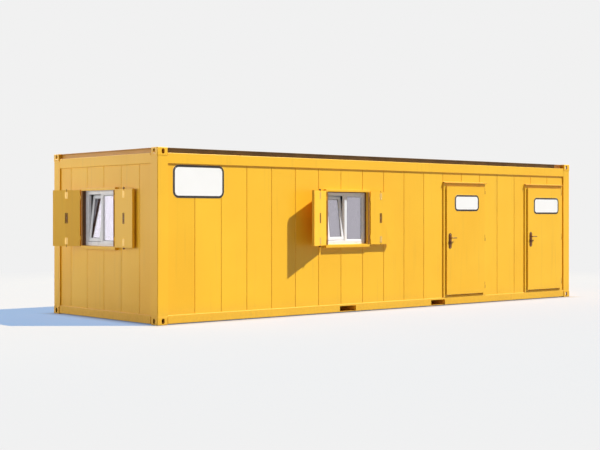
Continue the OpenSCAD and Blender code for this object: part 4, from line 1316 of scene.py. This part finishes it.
@dataclass
class Door:
    """A steel door in its frame: seals, lock, strike and tread plates, turn buttons, screws and sign."""

    number: int
    sign_from_left: float
    sign_from_top: float
    sign_width: float
    sign_height: float
    sign_round: float = 78 * MM
    steel_edge: float = 2 * MM
    plate_edge: float = 1.5 * MM
    jamb: float = 85 * MM
    head: float = 80 * MM
    threshold: float = 38 * MM
    core_gap: float = 8 * MM
    plate_thick: float = 20 * MM
    seal_w: float = 12 * MM
    seal_t: float = 4 * MM
    seal_clear: float = 3 * MM
    seal_soft: float = 1 * MM
    tread_set: Span = (16 * MM, 6 * MM)
    tread_clear: float = 3 * MM
    tread_ribs: int = 9
    tread_t: float = 1 * MM
    rib_t: float = 2.2 * MM
    rib_shares: Point = (0.8, 0.5, 0.3)
    handle_t: float = 8 * MM
    handle_hole: float = 15 * MM
    handle_screw: Span = (4.5 * MM, 2 * MM)
    key_drop: float = 72 * MM
    key_out: float = 8 * MM
    wing_foot: Span = (8 * MM, 60 * MM)
    wing_crown: Span = (6.5 * MM, 58 * MM)
    wing_t: float = 11 * MM
    wing_soft: float = 2 * MM
    back_w: float = 80 * MM
    back_over: float = 10 * MM
    back_t: float = 2 * MM
    back_soft: float = 0.8 * MM
    lock_h: float = 235 * MM
    lock_w: float = 22 * MM
    lock_t: float = 0.8 * MM
    lock_sink: float = 0.5 * MM
    lock_rise: float = 62 * MM
    lock_round: float = 0.9
    lock_hole: float = 14 * MM
    lock_screw: Span = (4 * MM, 1 * MM)
    lock_soft: float = 0.4 * MM
    latch_root: Span = (8 * MM, 15 * MM)
    latch_tip: Span = (1 * MM, 14 * MM)
    latch_out: float = 4.5 * MM
    bolt_half: Span = (5 * MM, 15 * MM)
    bolt_round: float = 1 * MM
    bolt_out: float = 2 * MM
    strike_t: float = 1.2 * MM
    box_half: Span = (7 * MM, 18 * MM)
    box_round: float = 2 * MM
    box_faces: Span = (0.3 * MM, 0.15 * MM)
    name: str = field(init=False)
    low: Vector = field(init=False)
    high: Vector = field(init=False)
    leaf_low: Vector = field(init=False)
    leaf_high: Vector = field(init=False)
    spindle: float = field(init=False)

    def __post_init__(self) -> None:
        """Names the door's body and measures the door frame, the leaf and the height of the lever."""
        self.name = f"door_{self.number}"
        self.low, self.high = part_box(f"{self.name}_frame")
        self.leaf_low, self.leaf_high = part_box(f"{self.name}_leaf")
        self.spindle = joint_named(f"lever_{self.number}_turn")["pos_m"][2]

    def build(self) -> None:
        """Dresses the door's nodes and adds its fittings."""
        dress(f"{self.name}_frame", YELLOW, self.steel_edge)
        dress(f"{self.name}_leaf", DOOR_SKIN, self.steel_edge)
        dress(f"{self.name}_handle_plate", NYLON, self.plate_edge)
        dress(f"{self.name}_lever", NYLON)
        self.seals()
        self.tread()
        self.handle_fittings()
        self.lock()
        sign_x = self.leaf_low.x + self.sign_from_left + self.sign_width / 2
        sign_z = self.leaf_high.z - self.sign_from_top - self.sign_height / 2
        SignPlate(f"{self.name}_sign", self.name, sign_x, sign_z, self.leaf_low.y, self.sign_width,
                  self.sign_height, self.sign_round).build()

    def seals(self) -> None:
        """Adds the rubber seal on the face of the door frame, under the leaf's lap."""
        low, high, s = self.low, self.high, self.seal_w
        over = s + self.seal_clear
        x0, x1 = low.x + self.jamb - over, high.x - self.jamb + over
        z0, z1 = low.z + self.threshold + over, high.z - self.head + over
        seal = Shape()
        for strip in ((x0, z0, x0 + s, z1), (x1 - s, z0, x1, z1), (x0 + s, z1 - s, x1 - s, z1)):
            seal.prism(round_outline(*strip, self.seal_soft, 2), low.y - self.seal_t, low.y - GAP)
        seal.piece(f"{self.name}_seal", "cabin", RUBBER, soft=self.seal_soft)

    def tread(self) -> None:
        """Adds the ribbed strip on the threshold."""
        z = self.low.z + self.threshold
        y0, y1 = self.low.y + self.tread_set[0], self.high.y - self.tread_set[1]
        pitch = (y1 - y0) / self.tread_ribs
        valley, crown = z + self.tread_t, z + self.rib_t
        section = [(y0, z), (y1, z)]
        for k in reversed(range(self.tread_ribs)):
            start = y0 + k * pitch
            far, near, foot = [start + share * pitch for share in self.rib_shares]
            section += [(start + pitch, valley), (far, crown), (near, crown), (foot, valley)]
        section.append((y0, valley))
        strip = Shape()
        strip.bar(section, self.low.x + self.jamb + self.tread_clear,
                  self.high.x - self.jamb - self.tread_clear)
        strip.piece(f"{self.name}_tread", "cabin", ALUMINIUM, slot="hinge_steel")

    def handle_fittings(self) -> None:
        """Adds a backing and screws to both handle plates and a turn button on each key cylinder."""
        low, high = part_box(f"{self.name}_handle_plate")
        x = (low.x + high.x) / 2
        half = self.back_w / 2
        key_z = self.spindle - self.key_drop
        screws, buttons, backs = Shape(), Shape(), Shape()
        back = round_outline(x - half, low.z - self.back_over, x + half, high.z + self.back_over, half)
        for face, out in ((self.leaf_low.y, -1), (self.leaf_high.y, 1)):
            backs.prism(back, *sorted((face, face + out * self.back_t)))
            plate_face = face + out * self.handle_t
            spots = [(x, plate_face, z) for z in (low.z + self.handle_hole, high.z - self.handle_hole)]
            fasten(screws, Head.PAN_SCREW, spots, (0, out, 0), *self.handle_screw)
            foot = plate_face + out * self.key_out
            wing = [round_outline(x - r, key_z - r, x + reach, key_z + r, r)
                    for r, reach in (self.wing_foot, self.wing_crown)]
            buttons.loft([[(px, y, pz) for px, pz in outline]
                          for outline, y in zip(wing, (foot, foot + out * self.wing_t))])
        screws.piece(f"{self.name}_handle_screws", self.name, ZINC, slot="hinge_steel")
        buttons.piece(f"{self.name}_turn_buttons", self.name, NYLON, soft=self.wing_soft,
                      slot="handle_plastic")
        backs.piece(f"{self.name}_handle_backs", self.name, NYLON, soft=self.back_soft,
                    slot="handle_plastic")

    def lock(self) -> None:
        """Adds the lock's plate and bolts on the leaf's edge, and the strike plate on the jamb."""
        jamb_x = self.low.x + self.jamb
        edge = jamb_x + self.core_gap
        plate = edge - self.lock_t
        y = (self.leaf_low.y + self.plate_thick + self.leaf_high.y) / 2
        spindle, key = self.spindle, self.spindle - self.key_drop
        z1 = spindle + self.lock_rise
        z0 = z1 - self.lock_h
        half = self.lock_w / 2
        outline = round_outline(y - half, z0, y + half, z1, half * self.lock_round)
        holes = [(y, z) for z in (z0 + self.lock_hole, z1 - self.lock_hole)]
        case = Shape()
        case.bar(outline, plate, edge + self.lock_sink)
        back = y - self.latch_root[0]
        case.loft([[(x, back, spindle - tall), (x, y + wide, spindle - tall),
                    (x, y + wide, spindle + tall), (x, back, spindle + tall)]
                   for x, (wide, tall) in ((edge - self.lock_sink, self.latch_root),
                                           (edge - self.latch_out, self.latch_tip))])
        case.bar(around(y, key, *self.bolt_half, self.bolt_round, 2), edge - self.bolt_out, edge)
        fasten(case, Head.PAN_SCREW, [(plate, *hole) for hole in holes], (-1, 0, 0), *self.lock_screw)
        case.piece(f"{self.name}_lock_plate", self.name, ZINC, soft=self.lock_soft, slot="hinge_steel")
        face = jamb_x + self.strike_t
        strike = Shape()
        strike.bar(outline, jamb_x - self.lock_sink, face)
        fasten(strike, Head.PAN_SCREW, [(face, *hole) for hole in holes], (1, 0, 0), *self.lock_screw)
        strike.piece(f"{self.name}_strike_plate", "cabin", ZINC, soft=self.lock_soft, slot="hinge_steel")
        boxes = Shape()
        sunk, proud = self.box_faces
        for z in (spindle, key):
            boxes.bar(around(y, z, *self.box_half, self.box_round, 3), face - sunk, face + proud)
        boxes.piece(f"{self.name}_strike_boxes", "cabin", RUBBER)


@dataclass
class DoorFittings:
    """What the two doors share: drip caps with their sealant, hinges with their sleeves and screws."""

    cap_edge: float = 0.8 * MM
    pin_edge: float = 1 * MM
    hinge_low: float = 85 * MM
    hinge_drop: float = 130 * MM
    hinge_h: float = 116 * MM
    wing_reach: float = 25 * MM
    wing_face: float = 5 * MM
    wing_holes: Span = (0.11, 0.39)
    screw_radius: float = 4.2 * MM
    screw_height: float = 1.6 * MM
    sealant_radius: float = 4 * MM
    sleeve_r: float = 9.8 * MM
    sleeve_sides: int = 20

    def build(self) -> None:
        """Dresses the shared nodes and adds hinge sleeves, screws and the sealant over the caps."""
        # The drip caps are darker than the yellow to paint the shade under them.
        dress("door_drip_caps", SHADE_DARKENED_CAP_ENAMEL, self.cap_edge)
        # The door hinges, their sleeves and screws take the darker ochre as painted shade.
        dress("door_hinge_pins", SHADE_DARKENED_OCHRE_ENAMEL, self.pin_edge)
        dress("shutter_hinge_pins", YELLOW, self.pin_edge)
        cap_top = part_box("door_drip_caps")[1]
        screws, sealant = Shape(), Shape()
        for name in ("door_1", "door_2"):
            low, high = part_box(f"{name}_frame")
            leaf_low, leaf_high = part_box(f"{name}_leaf")
            axis_x, axis_y = joint_named(f"{name}_hinge")["pos_m"][:2]
            first, last = leaf_low.z + self.hinge_low, leaf_high.z - self.hinge_drop
            levels = (first, (first + last) / 2, last)
            sleeves = Shape()
            fasten(sleeves, Head.HINGE_SLEEVE, [(axis_x, axis_y, level) for level in levels], (0, 0, 1),
                   self.sleeve_r, self.hinge_h, self.sleeve_sides)
            sleeves.piece(f"{name}_hinge_sleeves", name, SHADE_DARKENED_OCHRE_ENAMEL, slot="yellow_paint")
            spots = [(axis_x + self.wing_reach, low.y - self.wing_face, level + share * self.hinge_h)
                     for level in levels for share in self.wing_holes]
            fasten(screws, Head.PAN_SCREW, spots, (0, -1, 0), self.screw_radius, self.screw_height)
            sealant.tube([Vector((x, cap_top.y, cap_top.z)) for x in (low.x, high.x)],
                         [self.sealant_radius] * 2)
        screws.piece("door_hinge_screws", "cabin", SHADE_DARKENED_OCHRE_ENAMEL, slot="yellow_paint")
        sealant.piece("drip_cap_sealant", "cabin", YELLOW, slot="yellow_paint")


@dataclass(frozen=True)
class Softbox:
    """One large lamp: where it hangs and shines, its size and power, and which surfaces it reaches."""

    name: str
    spot: Point
    toward: Point
    size: Span
    watts: float
    lights: bool = True
    mirrored: bool = True


# The cards show only in gloss and glass, and the side softbox only lights.
SOFTBOXES = (
    Softbox("side_softbox", (-16.0, 12.5, 3.6), (1, 0, 0), (25.0, 6.8), 1470.0, mirrored=False),
    Softbox("mirror_card", (-16.2, 13.0, 4.0), (1, 0, 0), (30.0, 9.0), 450.0, lights=False),
    Softbox("sheen_card", (-15.0, 17.0, 12.5), (1, -0.6, -0.5), (24.0, 6.0), 4200.0, lights=False),
    Softbox("back_softbox", (14.0, 13.0, 6.0), (-1, -0.9, -0.25), (18.0, 8.0), 900.0),
)


@dataclass
class Studio:
    """Pale floor, key light, softboxes, plain surroundings and the camera at the photograph's angle."""

    camera_spot: Point = (-14.924, -16.288, 1.600)
    camera_yaw: float = 49.17
    focal_px: float = 1223.74
    horizon_px: float = 9.462
    sensor_mm: float = 36.0
    view_reach: float = 500.0
    sun_spot: Point = (8, -8, 13)
    sun_travel: Point = (-1.2, 1.0, -1.9)
    sun_strength: float = 5.7
    sun_degrees: float = 1.0
    backdrop: str = "#F1F1F1"
    sky: str = "#E4DDEE"
    sky_strength: float = 0.27
    floor_shown: str = "#AB935F"
    floor_bounce: str = "#90908C"
    floor_glow: str = "#79A9D9"
    floor_drop: float = 1 * MM
    floor_reach: float = 150.0
    contact: Span = (0.45, 0.3)
    haze: Span = (9.0, 15.5)

    def build(self) -> None:
        """Sets the view, the lights, the floor and the camera."""
        bpy.context.scene.view_settings.view_transform = "Standard"
        self.surroundings()
        self.floor()
        self.lights()
        self.camera()

    def seen(self, tree: Tree) -> Socket:
        """Adds the test for a ray that comes from the camera, a mirror or glass.

        Args:
            tree: Node tree that takes the test.

        Returns:
            A socket that is 1 on such a ray and 0 on others.
        """
        camera, glossy, through = [add_node(tree, "LightPath", out=f"Is {kind} Ray")
                                   for kind in ("Camera", "Glossy", "Transmission")]
        either = add_node(tree, "Math", {0: camera, 1: glossy}, operation="MAXIMUM")
        return add_node(tree, "Math", {0: either, 1: through}, operation="MAXIMUM")

    def surroundings(self) -> None:
        """Lights the object with a soft sky that looks like the pale backdrop."""
        world = bpy.data.worlds.new("studio")
        bpy.context.scene.world = world
        world.use_nodes = True
        tree = world.node_tree
        tree.nodes.clear()
        shown = add_node(tree, "Background", {"Color": linear(self.backdrop), "Strength": 1.0})
        soft = add_node(tree, "Background", {"Color": linear(self.sky), "Strength": self.sky_strength})
        both = add_node(tree, "MixShader", {0: self.seen(tree), 1: soft, 2: shown})
        feed(tree, tree.nodes.new("ShaderNodeOutputWorld"), {"Surface": both})

    def floor(self) -> None:
        """Adds the floor, pale to the eye, which keeps the object's shadow."""
        reach, z = self.floor_reach, -self.floor_drop
        mesh = bpy.data.meshes.new("studio_floor")
        corners = [(x, y, z) for x, y in round_outline(-reach, -reach, reach, reach)]
        mesh.from_pydata(corners, [], [(0, 1, 2, 3)])
        made = bpy.data.objects.new("studio_floor", mesh)
        bpy.context.scene.collection.objects.link(made)
        paint = bpy.data.materials.new("pale studio floor")
        paint.use_nodes = True
        tree = paint.node_tree
        tree.nodes.clear()
        seen = self.seen(tree)
        spot = add_node(tree, "TexCoord", out="Object")
        colour = add_node(tree, "Mix", {0: seen, 6: linear(self.floor_bounce),
                                        7: linear(self.floor_shown)}, 2, data_type="RGBA")
        board = add_node(tree, "BsdfDiffuse", {"Color": colour})
        shade = add_node(tree, "Math", {0: seen, 1: self.contact_shade(tree, spot)},
                         operation="MULTIPLY")
        glow = add_node(tree, "Emission", {"Color": linear(self.floor_glow), "Strength": shade})
        both = add_node(tree, "AddShader", {0: board, 1: glow})
        # Far out the floor turns into the backdrop, so that no horizon shows.
        out = add_node(tree, "VectorMath", {0: spot}, "Value", operation="LENGTH")
        fade = add_node(tree, "MapRange", {"Value": out, **ends("From", self.haze)},
                        interpolation_type="SMOOTHSTEP")
        far = add_node(tree, "Math", {0: fade, 1: seen}, operation="MULTIPLY")
        haze = add_node(tree, "Emission", {"Color": linear(self.backdrop), "Strength": 1.0})
        whole = add_node(tree, "MixShader", {0: far, 1: both, 2: haze})
        feed(tree, tree.nodes.new("ShaderNodeOutputMaterial"), {"Surface": whole})
        mesh.materials.append(paint)

    def contact_shade(self, tree: Tree, spot: Socket) -> Socket:
        """Adds the shade that the cabin's foot gives the floor beside it.

        Args:
            tree: Node tree that takes it.
            spot: Position on the floor.

        Returns:
            A socket that is 1 away from the cabin and less beside it.
        """
        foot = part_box("long_bottom_rails")[1].x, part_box("end_bottom_rails")[1].y
        side = add_node(tree, "VectorMath", {0: spot}, operation="ABSOLUTE")
        out = [add_node(tree, "Math", {0: add_node(tree, "SeparateXYZ", {0: side}, axis), 1: edge},
                        operation="SUBTRACT") for axis, edge in zip("XY", foot)]
        away = add_node(tree, "Math", {0: out[0], 1: out[1]}, operation="MAXIMUM")
        reach, least = self.contact
        return add_node(tree, "MapRange", {"Value": away, "From Max": reach, "To Min": least},
                        interpolation_type="SMOOTHSTEP")

    def lights(self) -> None:
        """Adds the key light, the softboxes and the cards that gloss and glass mirror."""
        key = bpy.data.lights.new("key", "SUN")
        key.energy = self.sun_strength
        key.angle = math.radians(self.sun_degrees)
        self.hang(key, self.sun_spot, self.sun_travel)
        for box in SOFTBOXES:
            lamp = bpy.data.lights.new(box.name, "AREA")
            lamp.shape = "RECTANGLE"
            lamp.size, lamp.size_y = box.size
            lamp.energy = box.watts
            made = self.hang(lamp, box.spot, box.toward)
            made.visible_glossy = box.mirrored
            made.visible_diffuse = box.lights

    def hang(self, lamp: bpy.types.Light, spot: Point, toward: Point) -> bpy.types.Object:
        """Places a lamp.

        Args:
            lamp: Its data.
            spot: Where it hangs.
            toward: Direction in which it shines.

        Returns:
            The lamp's object.
        """
        made = bpy.data.objects.new(lamp.name, lamp)
        made.location = spot
        made.rotation_euler = Vector(toward).to_track_quat("-Z", "Y").to_euler()
        made.visible_camera = False
        bpy.context.scene.collection.objects.link(made)
        return made

    def camera(self) -> None:
        """Adds the level camera that the photograph's perspective gives."""
        data = bpy.data.cameras.new("camera")
        data.sensor_width = self.sensor_mm
        data.lens = data.sensor_width * self.focal_px / IMAGE_WIDTH
        data.shift_y = -self.horizon_px / IMAGE_WIDTH
        data.clip_end = self.view_reach
        made = bpy.data.objects.new("camera", data)
        made.location = self.camera_spot
        made.rotation_euler = (math.radians(90), 0, math.radians(self.camera_yaw - 90))
        bpy.context.scene.collection.objects.link(made)
        bpy.context.scene.camera = made


def main() -> None:
    """Builds the studio and the cabin's sub-assemblies in order."""
    logging.basicConfig(level=logging.INFO, format="%(name)s: %(message)s")
    Studio().build()
    SteelFrame().build()
    PanelShell().build()
    Roof().build()
    # The front window's sealant is dark brown as painted shade; the shares tell how much of each reveal
    # the dark liners, which paint shade, cover.
    for label, wall, capped, seal, shade_liner_share in (("front", Wall.FRONT, Hand.LEFT, PAINTED_SHADE_SEAL, 0.35),
                                                   ("end", Wall.END, Hand.RIGHT, UPVC, 1.0)):
        Window(label, wall, seal, shade_liner_share).build()
        for hand in Hand:
            Shutter(f"{label}_{hand.name.lower()}", wall, hand, hand is capped).build()
    Door(1, sign_from_left=0.206, sign_from_top=0.153, sign_width=0.65, sign_height=0.29).build()
    Door(2, sign_from_left=0.175, sign_from_top=0.183, sign_width=0.76, sign_height=0.31).build()
    DoorFittings().build()
    SignPlate("wall_sign", "cabin", x=-4.12, z=2.105, y_face=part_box("front_wall_left")[0].y, width=0.94,
              height=0.49, radius=100 * MM, border=34 * MM).build()


if __name__ == "__main__":
    main()
